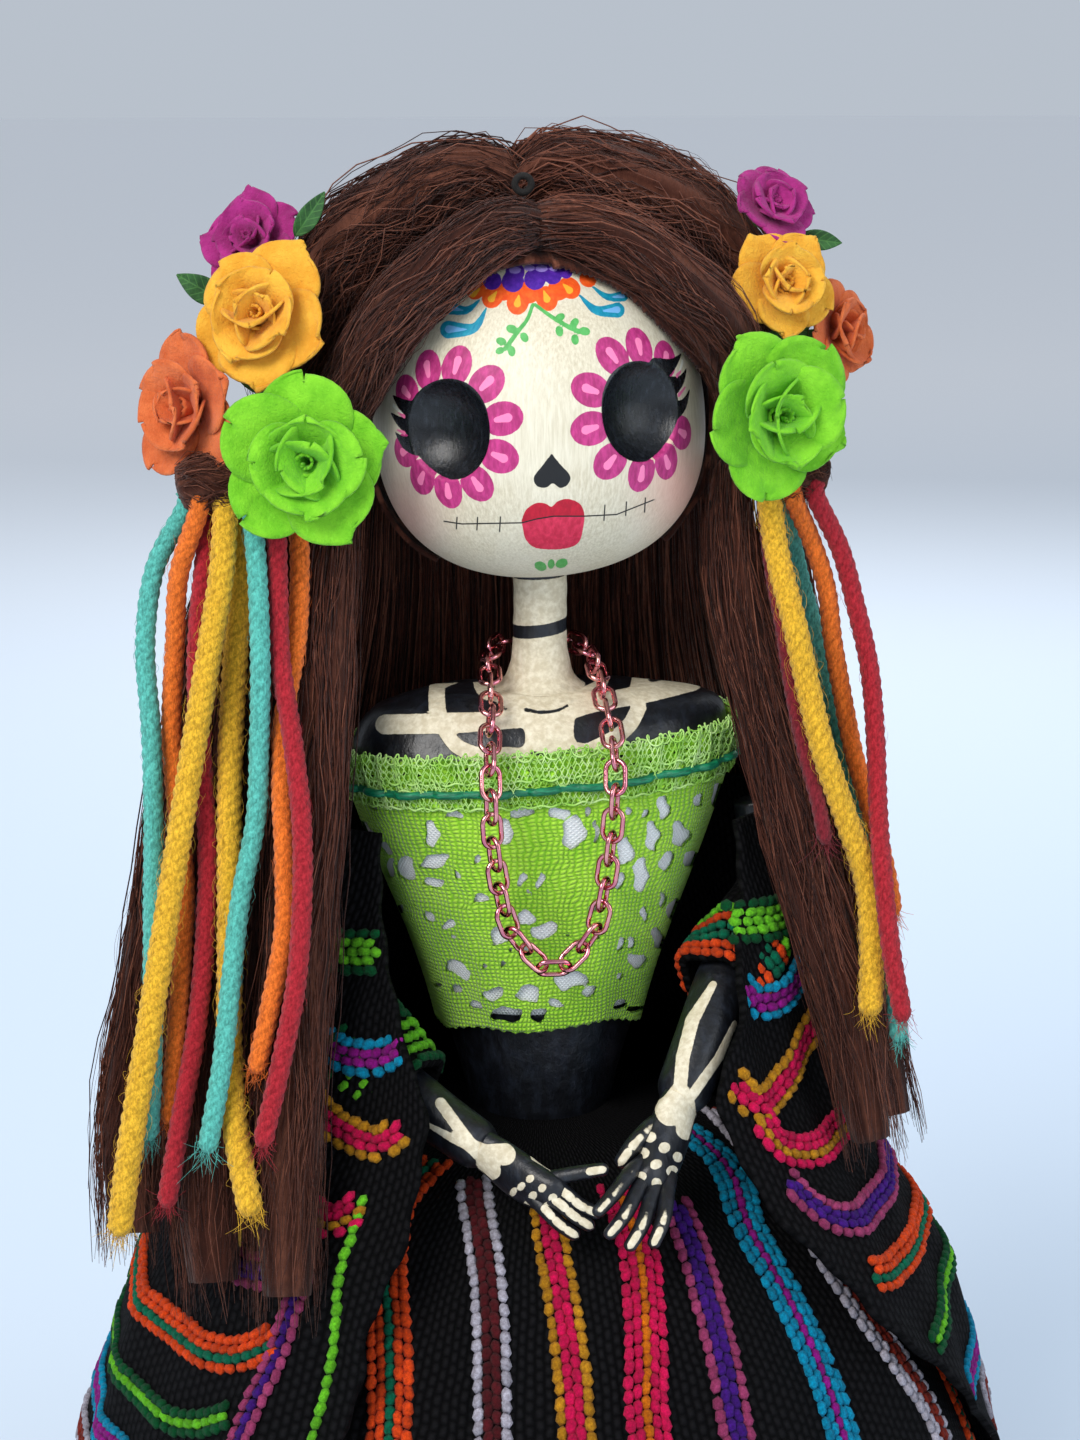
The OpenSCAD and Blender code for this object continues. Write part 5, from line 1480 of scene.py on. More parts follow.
# %% Fall behind
BACK = np.array(
    [
        [280, 14, 20, 16, 21, 40], [273, 23, 33, 20, 30, 48], [257, 31, 42, 30, 41, 62],
        [235, 31.5, 42.5, 31, 42, 74], [212, 34, 42, 30, 39, 74], [190, 41, 47, 30, 38, 74],
        [179, 49, 55, 30, 38, 74], [165, 50.5, 57, 33, 40, 74], [148, 53, 59, 40, 46, 74],
        [130, 56, 61, 51, 56, 74], [116, 62, 65, 61, 64, 74]],
    float)
back_rows = spline(BACK, 70)


def back_point(share, across, depth):
    """A point of the fall: an ellipse at each height, share down, across from one edge to the other, depth
    from inner to outer."""
    row = np.stack([np.interp(share, np.linspace(0, 1, 70), back_rows[:, k]) for k in range(6)], -1)
    turn = np.radians(180 + row[..., 5] * across)
    a, b = row[..., 1] + (
        row[..., 2] - row[..., 1]) * depth, row[..., 3] + (row[..., 4] - row[..., 3]) * depth
    r = 1 / np.sqrt((np.sin(turn) / a) ** 2 + (np.cos(turn) / b) ** 2)
    return np.stack([r * np.sin(turn), -r * np.cos(turn), row[..., 0] + 0 * turn], -1)


fall_share = np.linspace(0, 1, 60)[:, None]
loop = np.linspace(0, 2 * np.pi, 180, endpoint=False)[None]
across = np.clip(1.22 * np.cos(loop), -1, 1)
groove = 0.07 * np.sin(31 * across + 2 * fall_share) + 0.05 * np.sin(53 * across + 1 + 5 * fall_share)
depth = 0.5 + 0.5 * np.clip(3 * np.sin(loop), -1, 1) * (0.8 + groove)
fall = back_point(fall_share, across, depth)
fall = close_rows(
    np.concatenate(
        [
            fall[:1].mean(1, keepdims=True) + 0 * fall[:1], fall,
            fall[-1:].mean(1, keepdims=True) + 0 * fall[-1:]]))
count = 1000
lane, first, last = rng.uniform(
    -1.02, 1.02, (count, 1)), rng.uniform(0, 0.25, (count, 1)), rng.uniform(0.85, 1.0, (count, 1))
run = first + (last - first) * np.linspace(0, 1, 12)
wander = lane + 0.016 * np.sin(
    12 * run + rng.uniform(0, 6, (60, 1))[rng.integers(0, 60, count)]
) + 0.006 * np.sin(31 * run + rng.uniform(0, 6, (count, 1))) + rng.normal(0, 0.02, (count, 1)) * run
layer = np.where(
    rng.random((count, 1)) < 0.42, rng.uniform(-0.02, 0.08, (count, 1)), rng.uniform(0.92, 1.06, (count, 1)))
fall_strands = back_point(run, wander.clip(-1.02, 1.02), layer)
fall_points, fall_faces = gather(
    [
        (fall, closed_faces(62, 180)),
        tubes(fall_strands, 0.19 * rng.uniform(0.5, 1.4, (count, 1)), 3, up=(1.0, 0.4, 0.1))])
# The core under the strands is half as bright, darkest at its ends: painted shade under and between the
# strands.
fall_core_shade_tint = np.r_[HAIR_DARK[None], np.tile(browns(180, 0.2) * 0.5, (60, 1)), HAIR_DARK[None]]
fall_piece = make_piece(
    "hair_back_wool", fall_points, fall_faces, hair_wool,
    tint=np.r_[fall_core_shade_tint, per_tube(browns(count, 0.6), 12, 3)])
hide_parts("hair_back")

# %% [markdown]
# ## Paper roses
# The roses are cut from thick mulberry paper, damped, cupped and glued round a rolled centre. Each petal is
# a small grid
# whose spine bends from its base to its tip, so one formula gives the tight inner petals and the flat outer
# ones.

# %% Rose petals
ROSES = {
    "rose_left_green": (
        (-41.5, -22, 242.8), 12.6, -12, 4, "green"
    ), "rose_left_orange": ((-59, -10, 250.2), 10.4, -52, 6, "orange"),
    "rose_left_yellow": ((-48, -12, 265.5), 10.8, -22, 14, "yellow"), "rose_left_magenta": (
        (-48.5, -1, 276.5), 8.4, -35, 30, "magenta"),
    "rose_right_green": (
        (36, -19.5, 249.2), 12.4, 18, 0, "green"
    ), "rose_right_orange": ((49.5, -7, 261.5), 8, 50, 8, "orange"),
    "rose_right_yellow": ((39, -13, 270), 8.4, 14, 14, "yellow"), "rose_right_magenta": (
        (38.4, -6, 282.2), 7, 25, 35, "magenta"),
}
# Each paper's dark and light shades; the dark one is also the painted shade at the petals' bases.
PAPERS = {
    "green": ((0.10, 0.42, 0.008), (0.26, 0.70, 0.03)),
    "orange": ((0.50, 0.075, 0.014), (0.80, 0.19, 0.055)),
    "yellow": ((0.72, 0.27, 0.012), (0.93, 0.50, 0.05)),
    "magenta": ((0.19, 0.006, 0.085), (0.47, 0.03, 0.24))}


def mulberry(name, dark, light):
    """Handmade paper: cloudy colour, long pale fibres, and painted shade in the folds near each petal's base.
    """

    def base(w):
        cloud = w.place().noise(0.22, 4, 0.6).step(0.3, 0.7)
        fibre = w.place().noise(1.3, 5, 0.75, (1, 1, 0.5)).step(0.55, 0.72) * 0.35
        paper = fibre.mix(
            cloud.mix(tuple(0.7 * a + 0.3 * b for a, b in zip(dark, light)), light),
            tuple(min(1, 1.25 * c + 0.03) for c in light))
        # Painted shade: towards each petal's base and low on the bud the paper turns to its dark shade.
        return (1 - w.field("open").step(0.0, 0.55)).mix(paper, dark)

    return finish(
        name, base, 0.88,
        lambda w: w.place().noise(0.55, 5, 0.7) * 1.0 + w.place().noise(2.2, 4, 0.75) * 0.4, 0.45,
        Specular_IOR_Level=0.18, Sheen_Weight=0.12)


papers = {key: mulberry("paper_" + key, *shades) for key, shades in PAPERS.items()}


def petal(turn, length, half_width, lean_from, lean_to, wrap, cup, lift, rows=14, cols=11):
    """A petal in rose coordinates: its spine leaves the axis at lean_from and ends at lean_to; across it
    bends by wrap."""
    v, u = np.sin(np.pi / 2 * np.linspace(0, 1, rows))[:, None], np.linspace(-1, 1, cols)[None]
    lean = np.radians(lean_from + (lean_to - lean_from) * v[:, 0] ** 1.3)
    reach = np.r_[0, np.cumsum((np.sin(lean)[1:] + np.sin(lean)[:-1]) / 2 * np.diff(v[:, 0]))] * length
    rise = np.r_[0, np.cumsum((np.cos(lean)[1:] + np.cos(lean)[:-1]) / 2 * np.diff(v[:, 0]))] * length
    width = half_width * np.where(
        v < 0.62, 0.42 + 0.58 * (1 - (1 - v / 0.62) ** 2),
        np.sqrt((1 - ((v - 0.62).clip(0) / 0.38) ** 2.4).clip(0.0015)))
    phase = rng.uniform(0, 6, 3)
    side = u * width
    fray = (
        0.03 * length * v**3 * np.sin(3.4 * u + phase[0]) + 0.012 * length * v**4 * np.sin(9 * u + phase[1])
    )
    out = reach[:, None] - side**2 / (2 * wrap) + 0.06 * length * v * np.sin(2.6 * u + phase[2]) * v
    high = rise[:, None] + lift + cup * side**2 + fray
    radial, tangent = np.array([np.cos(turn), np.sin(turn), 0]), np.array([-np.sin(turn), np.cos(turn), 0])
    points = (
        out[..., None] * radial + (side + 0 * v)[..., None] * tangent
        + high[..., None] * np.array([0, 0, 1.0])
    )
    return points.reshape(-1, 3), grid_faces(rows, cols), (v + 0 * u).ravel()


def bud(radius, height, turns=2.3, rows=9, cols=70):
    """The rolled centre: a strip wound into a spiral that opens outwards and stands lower outside."""
    v, u = np.linspace(0, 1, rows)[:, None], np.linspace(0, 1, cols)[None]
    r = radius * (0.12 + 0.88 * u**0.8) * (0.72 + 0.5 * v**1.5)
    a = 2 * np.pi * turns * u
    points = np.stack(
        [r * np.cos(a), r * np.sin(a), height * v * (1.0 - 0.25 * u) + 0.04 * height * np.sin(9 * a)], -1)
    return points.reshape(-1, 3), grid_faces(rows, cols), (0.25 + 0.5 * v + 0 * u).ravel()


def rose_parts(radius):
    """Petals from the outside in: 5 flat, 4 half open, 3 closed, and the rolled centre."""
    parts = []
    layers = [
        (5, 1.16, 0.60, 66, 88, 2.6, 0.006, 0.00), (4, 0.92, 0.56, 38, 66, 1.6, 0.014, 0.05),
        (3, 0.66, 0.50, 14, 38, 0.6, 0.01, 0.10)]
    start = rng.uniform(0, 6)
    for count, length, width, lean_from, lean_to, wrap, cup, lift in layers:
        start += np.pi / count + 0.2
        for k in range(count):
            jitter = rng.normal(0, 1, 4)
            parts.append(
                petal(
                    start + 2 * np.pi * k / count + 0.08 * jitter[0],
                    radius * length * (1 + 0.06 * jitter[1]), radius * width * (1 + 0.06 * jitter[2]),
                    lean_from + 4 * jitter[3], lean_to + 7 * jitter[0], radius * wrap, cup, radius * lift))
    parts.append(bud(0.2 * radius, 0.55 * radius))
    return parts


for name, (base, radius, right_deg, up_deg, paper) in ROSES.items():
    r, u = np.radians(right_deg), np.radians(up_deg)
    facing = np.array([np.sin(r) * np.cos(u), -np.cos(r) * np.cos(u), np.sin(u)])
    level = unit(np.cross(facing, [0, 0, 1.0]))
    turn_to = np.stack([level, np.cross(facing, level), facing])
    parts = rose_parts(radius)
    points, faces = gather([(p @ turn_to + np.array(base) + 0.10 * radius * facing, f) for p, f, _ in parts])
    # The open field, low near the petals' bases, sets where the painted shade falls.
    rose = make_piece(
        name + "_petals", points, faces, papers[paper],
        fields={"open": np.concatenate([o for _, _, o in parts])})
    thicken(rose, 0.5, 0.0, even=False)
    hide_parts(name)

# %% Leaves, stems and felt
LEAVES = {
    "left": [
        ((-53.5, -13.4, 256.5), -12, 12, 5), ((-55, -5, 268), 150, 9, 4.5), ((-43, -10, 279), 55, 9, 3.5)],
    "right": [((35, -13.5, 258.5), 25, 11, 5), ((44, -7, 278), -8, 8, 3.5)]}


def leaf(point, degrees, length, width):
    """A leaf from its stalk to its tip in the plane facing the front, folded up along its middle and
    bowed."""
    v, u = np.linspace(0, 1, 21)[:, None], np.linspace(-1, 1, 13)[None]
    half = width / 2 * np.sin(np.pi * v**0.8).clip(0.02) ** 0.8
    a = np.radians(degrees)
    along, across = np.array([np.cos(a), 0, np.sin(a)]), np.array([-np.sin(a), 0, np.cos(a)])
    bow = -0.09 * length * np.sin(np.pi * v) - 0.35 * np.abs(u) * half + 0.08 * np.sin(16 * v)
    p = (
        np.array(point) + (v * length + 0 * u)[..., None] * along + (u * half)[..., None] * across
        + bow[..., None] * np.array([0, 1.0, 0])
    )
    return p.reshape(-1, 3), grid_faces(21, 13), np.stack([v * length + 0 * u, u * half], -1).reshape(-1, 2)


def leaf_base(w):
    """Dark green paper with paler ribs that slope away from the middle."""
    x = w.new("SeparateXYZ", {}, {0: w.uv()})
    y = w.new("SeparateXYZ", {}, {0: w.uv()}, 1)
    ribs = ((x - y.abs() * 1.1) * 4.2).sin().step(0.75, 1.0)
    middle = 1 - y.abs().step(0.08, 0.2)
    return (ribs.math("MAXIMUM", ribs, middle) * 0.5).mix(
        w.place().noise(0.4, 3).step(0.3, 0.7).mix((0.012, 0.06, 0.012), (0.03, 0.13, 0.025)),
        (0.08, 0.24, 0.05))


leaf_paper = finish("leaf_paper", leaf_base, 0.75, lambda w: w.place().noise(0.9, 4, 0.7), 0.25)
for side, rows in LEAVES.items():
    parts = [leaf(*row) for row in rows]
    leaves = make_piece(
        f"paper_leaves_{side}", *gather([(p, f) for p, f, _ in parts]), leaf_paper,
        uv=np.concatenate([t for _, _, t in parts]))
    thicken(leaves, 0.3, 0.0, even=False)
    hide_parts(f"rose_leaves_{side}")


def recoat(nodes, material):
    """Puts a material on carried-over solids, whose shapes stay as they are."""
    for node in nodes:
        bpy.data.objects[node].data.materials.clear()
        bpy.data.objects[node].data.materials.append(material)


wrapped_wire = finish(
    "wrapped_wire",
    lambda w: w.place().noise(0.6, 3).step(0.3, 0.7).mix((0.02, 0.07, 0.015), (0.05, 0.16, 0.03)), 0.8,
    lambda w: w.place().noise(2.0, 3), 0.1)
black_thread = finish(
    "black_thread",
    lambda w: w.place().noise(1.5, 5, 0.75).step(0.25, 0.75).mix(
        (0.004, 0.0035, 0.003), (0.014, 0.012, 0.011)),
    0.9, lambda w: w.place().noise(2.2, 5, 0.75), 0.2)
recoat(["rose_stems_left", "rose_stems_right"], wrapped_wire)
recoat(["parting_thread"], black_thread)

# %% [markdown]
# ## Chain and hidden pieces
# The necklace is light anodised chain, rose-coloured with a copper cast. The pieces inside get their own
# finishes too: pulp,
# board, dowel and wire, for anyone who opens the part.

# %% Chain
def chain_base(w):
    """Rose metal that turns towards copper in patches along each link."""
    return w.place().noise(0.35, 3, 0.6).step(0.35, 0.65).mix((0.66, 0.20, 0.27), (0.80, 0.36, 0.34))


anodised = finish(
    "anodised_chain", chain_base, lambda w: 0.12 + w.place().noise(1.2, 3) * 0.08,
    lambda w: w.place().noise(1.5, 3), 0.04, Metallic=1.0)
recoat(["necklace_links", "necklace_clasp"], anodised)
pulp = finish(
    "paper_pulp",
    lambda w: w.place().noise(0.7, 5, 0.7).step(0.3, 0.7).mix((0.22, 0.20, 0.17), (0.45, 0.42, 0.36)), 0.95,
    lambda w: w.place().noise(0.9, 5, 0.7), 0.5)
bare_paper = finish(
    "bare_paper",
    lambda w: w.place().noise(0.25, 4, 0.6).step(0.4, 0.6).mix((0.38, 0.34, 0.27), (0.55, 0.51, 0.43)), 0.9,
    lambda w: w.place().noise(0.4, 4, 0.7), 0.3)
grey_board = finish(
    "grey_board",
    lambda w: w.place().noise(1.2, 5, 0.7).step(0.3, 0.7).mix((0.17, 0.16, 0.14), (0.33, 0.31, 0.28)), 0.95,
    lambda w: w.place().noise(1.6, 4, 0.7), 0.15)
beech = finish(
    "beech_dowel",
    lambda w: w.place().noise(0.8, 4, 0.6, (1, 1, 0.06)).step(0.3, 0.7).mix(
        (0.42, 0.25, 0.11), (0.62, 0.42, 0.22)),
    0.65, lambda w: w.place().noise(1.0, 4, 0.6, (1, 1, 0.05)), 0.08)
steel_wire = finish(
    "steel_wire",
    lambda w: w.place().noise(0.9, 3).step(0.3, 0.7).mix((0.30, 0.30, 0.31), (0.48, 0.48, 0.49)), 0.38,
    lambda w: w.place().noise(2.0, 2), 0.03, Metallic=1.0)
recoat(["skull_core"], pulp)
recoat(["skirt_form"], bare_paper)
recoat(["base_board"], grey_board)
recoat(["spine_dowel"], beech)
recoat(["arm_wire_left", "arm_wire_right"], steel_wire)

# %% [markdown]
# ## Skirt and shawl
# Both are cut from one hand-woven wool cloth: black, with narrow stripes of bright raised stitches. The
# skirt is gathered
# at the waist into soft pleats. The stitches are real little lozenges, laid in staggered columns along each
# stripe.

# %% Black cloth
def knit_relief(w):
    """Black rows of stitches, two millimetres by one and a half, each row shifted by half a stitch."""
    x = w.new("SeparateXYZ", {}, {0: w.uv()})
    y = w.new("SeparateXYZ", {}, {0: w.uv()}, 1)
    bend = (w.place().noise(0.12, 2) - 0.5) * 1.6
    column = (x + bend) / 1.5
    odd = column.math("FLOOR", column).math("MODULO", column.math("FLOOR", column), 2.0).abs()
    along = ((y + bend * 0.5) / 2.1 + odd * 0.5) * np.pi
    return (column * np.pi).sin().abs() * (along.sin().abs() * 0.8 + 0.2)


def black_wool(w):
    fibres = w.place().noise(1.4, 5, 0.75)
    lit = (knit_relief(w) * 0.6 + fibres * 0.5).step(0.25, 0.95)
    return lit.mix((0.0018, 0.0018, 0.0022), (0.0125, 0.012, 0.0135))


woven_black = finish(
    "woven_black", black_wool, 0.95, lambda w: knit_relief(w) + w.place().noise(2.2, 5, 0.75) * 0.9, 1.0,
    Specular_IOR_Level=0.08, Sheen_Weight=0.0)


# %% Skirt surface
HEM_R, WAIST_R, WAIST_Z, HEM_GAP, BELL_RISE = 92.0, 15.0, 120.0, 1.0, 1.08
bell_a = np.radians(np.linspace(0, 90, 400))
bell_z = HEM_GAP + (WAIST_Z - HEM_GAP) * np.sin(bell_a) ** BELL_RISE
bell_r = WAIST_R + (HEM_R - WAIST_R) * np.cos(bell_a)
bell_z, bell_r = np.r_[bell_z, 120.5, 121.0, 121.3], np.r_[bell_r, 14.6, 13.8, 12.6]
bell_run = np.r_[0, np.cumsum(np.hypot(np.diff(bell_r), np.diff(bell_z)))]


def skirt_point(turn, run, out=0.0):
    """A point of the bell at an angle from the front and a distance up from the hem; pleats deepen towards
    the waist."""
    r, z = np.interp(run, bell_run, bell_r), np.interp(run, bell_run, bell_z)
    share = run / bell_run[-1]
    pleat = 0.9 * np.sin(
        14 * turn + 1.2 * np.sin(3 * turn)
    ) * np.sin(np.pi * share**1.5) + 0.45 * np.sin(33 * turn + 2) * share**3 * (1 - share)
    dent = 0.5 * np.sin(5 * turn + 0.04 * run) * (1 - share) * np.minimum(run / 20, 1)
    slope = np.arctan2(np.gradient(bell_z), np.gradient(bell_r))
    tilt = np.interp(run, bell_run, slope)
    push = np.clip(pleat - 0.9, -1.7, 0.1) * 0.7 + dent - 0.35 + out
    return np.stack(
        [
            (r + push * np.sin(tilt)) * np.sin(turn), -(r + push * np.sin(tilt)) * np.cos(turn),
            z - push * np.cos(tilt)],
        -1)


skirt_rows, skirt_cols = 80, 270
skirt_turn = np.linspace(-np.pi, np.pi, skirt_cols, endpoint=False)[None]
skirt_run = np.linspace(0, bell_run[-1], skirt_rows)[:, None]
skirt = skirt_point(skirt_turn, skirt_run).reshape(-1, 3)
skirt_uv = np.stack(
    [
        np.broadcast_to(skirt_turn * 60, (skirt_rows, skirt_cols)),
        np.broadcast_to(skirt_run, (skirt_rows, skirt_cols))],
    -1).reshape(-1, 2)
skirt_piece = make_piece(
    "skirt_wool", skirt, grid_faces(skirt_rows, skirt_cols, wrap=True), woven_black, uv=skirt_uv)
thicken(skirt_piece, 1.3, -1.0)
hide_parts("skirt_cloth")

# %% Shawl surface
SHAWL = np.array(
    [
        [177, 47, 24, 27], [168, 48, 27, 29], [158, 49, 33, 32], [148, 50, 40, 36], [138, 51.5, 46, 41],
        [128, 54, 50, 48], [118, 59, 56, 57], [108, 66, 65, 66], [96, 73, 72, 73], [82, 78.7, 78.2, 78.7],
        [66, 83.9, 83.9, 83.9], [50, 87.8, 87.8, 87.8], [36, 90.5, 90.5, 90.5]],
    float)[::-1]
EDGES = np.array(
    [
        [36, 37, 90], [50, 36, 80], [66, 35, 68], [82, 34, 56], [96, 33, 46], [108, 32, 39], [118, 31, 34],
        [128, 31, 32], [138, 34, 34], [148, 42, 44], [158, 50, 52], [168, 56, 58], [177, 60, 62]],
    float)
shawl_curve, edge_curve = spline(SHAWL, 300), spline(EDGES, 300)


def shawl_point(turn, z, out=0.0):
    """A point of the shawl: an ellipse at each height, its front and back depths blended at the sides, with
    soft hanging folds."""
    a, front_b, back_b = (np.interp(z, shawl_curve[:, 0], shawl_curve[:, k]) for k in (1, 2, 3))
    blend = 0.5 - 0.5 * np.tanh(-6 * np.cos(turn))
    b = back_b + (front_b - back_b) * blend
    r = 1 / np.sqrt((np.sin(turn) / a) ** 2 + (np.cos(turn) / b) ** 2)
    fold = 0.7 * np.sin(11 * turn + 0.05 * z) + 0.45 * np.sin(23 * turn - 0.07 * z + 1) + 0.5 * np.sin(
        0.16 * z + 3 * np.cos(turn))
    r = r + fold * np.clip((z - 34) / 30, 0.3, 1) * np.where(z > 150, 0.6, 1) - 0.5 + out
    return np.stack([r * np.sin(turn), -r * np.cos(turn), z + 0 * turn], -1)


shawl_rows, shawl_cols = 85, 270
shawl_z = np.linspace(36, 177, shawl_rows)[:, None]
left_edge, right_edge = (np.radians(np.interp(shawl_z, edge_curve[:, 0], edge_curve[:, k])) for k in (1, 2))
u = np.linspace(0, 1, shawl_cols)[None]
shawl_turn = right_edge + (2 * np.pi - left_edge - right_edge) * u
rolled = 1.1 * (
    np.exp(-((u / 0.012) ** 2)) + np.exp(-(((1 - u) / 0.012) ** 2))
) + 0.5 * np.exp(-(((shawl_z - 36) / 2) ** 2))
wander = 0.6 * np.sin(0.3 * shawl_z + 2) + 0.4 * np.sin(0.7 * shawl_z)
shawl_turn = shawl_turn + np.radians(wander) * (1 - 2 * u)
shawl = shawl_point(shawl_turn, shawl_z, rolled)
shawl[..., 2] += 0.7 * np.sin(19 * shawl_turn) * np.exp(-(shawl_z - 36) / 4)
shawl_run = np.r_[
    0,
    np.cumsum(
        np.hypot(
            np.diff(np.interp(shawl_z[:, 0], shawl_curve[:, 0], shawl_curve[:, 1])), np.diff(shawl_z[:, 0])))
]
shawl_uv = np.stack(
    [
        np.broadcast_to(shawl_turn * 62, (shawl_rows, shawl_cols)),
        np.broadcast_to(shawl_run[:, None], (shawl_rows, shawl_cols))],
    -1).reshape(-1, 2)
shawl_piece = make_piece(
    "shawl_wool", shawl.reshape(-1, 3), grid_faces(shawl_rows, shawl_cols), woven_black, uv=shawl_uv)
thicken(shawl_piece, 1.4, -1.0)
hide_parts("shawl_cloth")

# %% [markdown]
# A stitch is a lozenge of yarn. Its stripe is a line on the cloth; columns lie side by side across it, each
# shifted by half
# a stitch against the next, and every stitch leans a little, so that two columns read as a plait.

# %% Stitches
PINK, HOT, PURPLE, LIME, GREEN, RUST, WHITE, BRICK, WINE, GOLD, CYAN, MAGENTA, AMBER = (
    (0.42, 0.055, 0.17), (0.78, 0.006, 0.095), (0.065, 0.008, 0.24), (0.16, 0.62, 0.02),
    (0.0, 0.085, 0.022), (0.86, 0.075, 0.008), (0.55, 0.53, 0.62), (0.26, 0.022, 0.010),
    (0.10, 0.008, 0.012), (0.62, 0.28, 0.012), (0.0, 0.32, 0.55), (0.34, 0.008, 0.28),
    (0.82, 0.20, 0.005))
TEAL = (0.0, 0.17, 0.085)
RING_SIDES = 6


def stitch_row(
    line, across, normals, offset, colour, size=(1.5, 0.92, 0.78), pitch=2.35, shift=0.0, slant=0.25
):
    """Lozenges along a line, offset sideways: two rings of six points and two tips, each stitch slanted by
    slant."""
    run = np.r_[0, np.cumsum(np.linalg.norm(np.diff(line, axis=0), axis=1))]
    at = np.arange(pitch * (0.5 + shift), run[-1] - pitch * 0.4, pitch)
    n = len(at)
    pick = lambda table: np.stack([np.interp(at, run, table[:, k]) for k in range(3)], -1)
    middle, side, up = pick(line), unit(pick(across)), unit(pick(normals))
    ahead = unit(np.cross(side, up)) * np.sign(
        (unit(np.cross(side, up)) * unit(pick(np.gradient(line, axis=0)))).sum(-1, keepdims=True))
    lean = slant * np.sign(offset if abs(offset) > 0.1 else 1) + rng.normal(0, 0.07, (n, 1))
    ahead, side = unit(ahead + lean * side), unit(side - lean * ahead)
    middle = middle + offset * side + rng.normal(0, 0.06, (n, 3)) + 0.22 * up
    length, width, height = (size[k] * rng.uniform(0.9, 1.1, (n, 1)) for k in range(3))
    a = np.arange(RING_SIDES) * 2 * np.pi / RING_SIDES
    rings = []
    for share in (-0.48, 0.48):
        rings.append(
            middle[:, None] + share * length[:, None] * ahead[:, None]
            + width[:, None] * np.cos(a)[:, None] * side[:, None]
            + height[:, None] * np.sin(a)[:, None] * up[:, None])
    tips = np.stack([middle - length * ahead, middle + length * ahead], 1)
    points = np.concatenate([np.concatenate(rings, 1), tips], 1).reshape(-1, 3)
    k, m = np.arange(RING_SIDES), (np.arange(RING_SIDES) + 1) % RING_SIDES
    quads = np.stack([k, m, m + 6, k + 6], -1)
    ends = np.concatenate([np.stack([m, k, 12 + 0 * k], -1), np.stack([k + 6, m + 6, 13 + 0 * k], -1)])
    start = (np.arange(n) * 14)[:, None, None]
    shade = np.array(colour) * rng.uniform(0.72, 1.15, (n, 1))
    return points, [
        (quads[None] + start).reshape(-1, 4), (ends[None] + start).reshape(-1, 3)
    ], np.repeat(shade, 14, axis=0), ahead, side, up


def stripe(surface, route, colours, step=1.62, **kw):
    """A stripe on a surface: route is a list of its two coordinates, colours its columns from left to
    right."""
    way = spline(route, 160)
    line = surface(way[:, 0], way[:, 1])
    eps = 1e-3
    du, dv = surface(way[:, 0] + eps, way[:, 1]) - line, surface(way[:, 0], way[:, 1] + eps) - line
    normals = unit(np.cross(du, dv))
    across = unit(np.cross(np.gradient(line, axis=0), normals))
    rows = []
    for k, colour in enumerate(colours):
        if colour is not None:
            rows.append(
                stitch_row(
                    line, across, normals, (k - (len(colours) - 1) / 2) * step, colour, shift=0.5 * (k % 2),
                    **kw)[:3])
    return rows


def stitched(name, rows, body="figure"):
    """One piece of all the stitches in rows."""
    points, faces = gather([(p, f) for p, f, _ in rows])
    piece = make_piece(
        name, points, faces, stitch_wool, body=body, tint=np.concatenate([c for _, _, c in rows]))
    return piece


def stitch_base(w):
    """The stitch's own colour, paler on loose fibres and darker where plies meet."""
    fibres = w.place().noise(1.8, 5, 0.75).step(0.3, 0.75)
    dark = w.new(
        "Mix", {"data_type": "RGBA", "blend_type": "MULTIPLY"},
        {0: 1.0, 6: w.tint(), 7: (0.45, 0.42, 0.42)}, 2)
    return fibres.mix(dark, w.tint())


stitch_wool = finish(
    "stitch_wool", stitch_base, 0.9, lambda w: w.place().noise(2.0, 5, 0.75), 0.4, Specular_IOR_Level=0.1,
    Sheen_Weight=0.04)


# %% Skirt stripes
def skirt_route(places):
    """Angles in degrees and heights in millimetres, turned into the skirt's own coordinates."""
    p = np.array(places, float)
    return np.stack([np.radians(p[:, 0]), np.interp(p[:, 1], bell_z, bell_run)], -1)


SKIRT_STRIPES = [
    (
        [
            (-46, 117.5), (-45.5, 112.5), (-38.7, 104.2), (-33.7, 96.6), (-30, 84), (-27, 55), (-26, 25),
            (-26, 3)],
        [RUST, RUST, TEAL, RUST, RUST]),
    (
        [(-30, 117), (-22, 111.5), (-17.3, 103.2), (-14.7, 86), (-13.5, 55), (-13, 3)],
        [WHITE, WINE, WINE, WHITE]),
    (
        [(-6, 116), (-5.6, 112), (-4, 105), (-3, 96.6), (-2.7, 85.5), (-2.2, 50), (-2, 3)],
        [GOLD, HOT, HOT, GOLD]),
    (
        [(15.5, 116), (14, 109.4), (11.7, 103.2), (9.3, 95), (7.6, 84.8), (7.4, 50), (7.4, 3)],
        [HOT, HOT, AMBER, HOT, HOT]),
    (
        [(28, 113), (24.5, 104.5), (23, 97.6), (22, 90.6), (21, 82), (19.5, 50), (19, 3)],
        [PINK, PURPLE, PURPLE, PINK]),
    (
        [(62, 118), (52, 113), (43.5, 107.8), (40.7, 96.9), (39.7, 85), (38, 70), (35.5, 40), (34.5, 3)],
        [CYAN, CYAN, MAGENTA, CYAN, CYAN]),
    (
        [(90, 116.5), (66, 111), (57.5, 103), (55.5, 93), (57, 83), (60, 68), (58, 40), (56, 3)],
        [WHITE, BRICK, BRICK, WHITE, WHITE]),
    ([(80, 90), (76, 70), (74, 40), (73, 3)], [RUST, TEAL, RUST]),
]
skirt_rows_of_stitches = [
    row
    for places, colours in SKIRT_STRIPES
    for row in stripe(skirt_point, skirt_route(places), colours)]
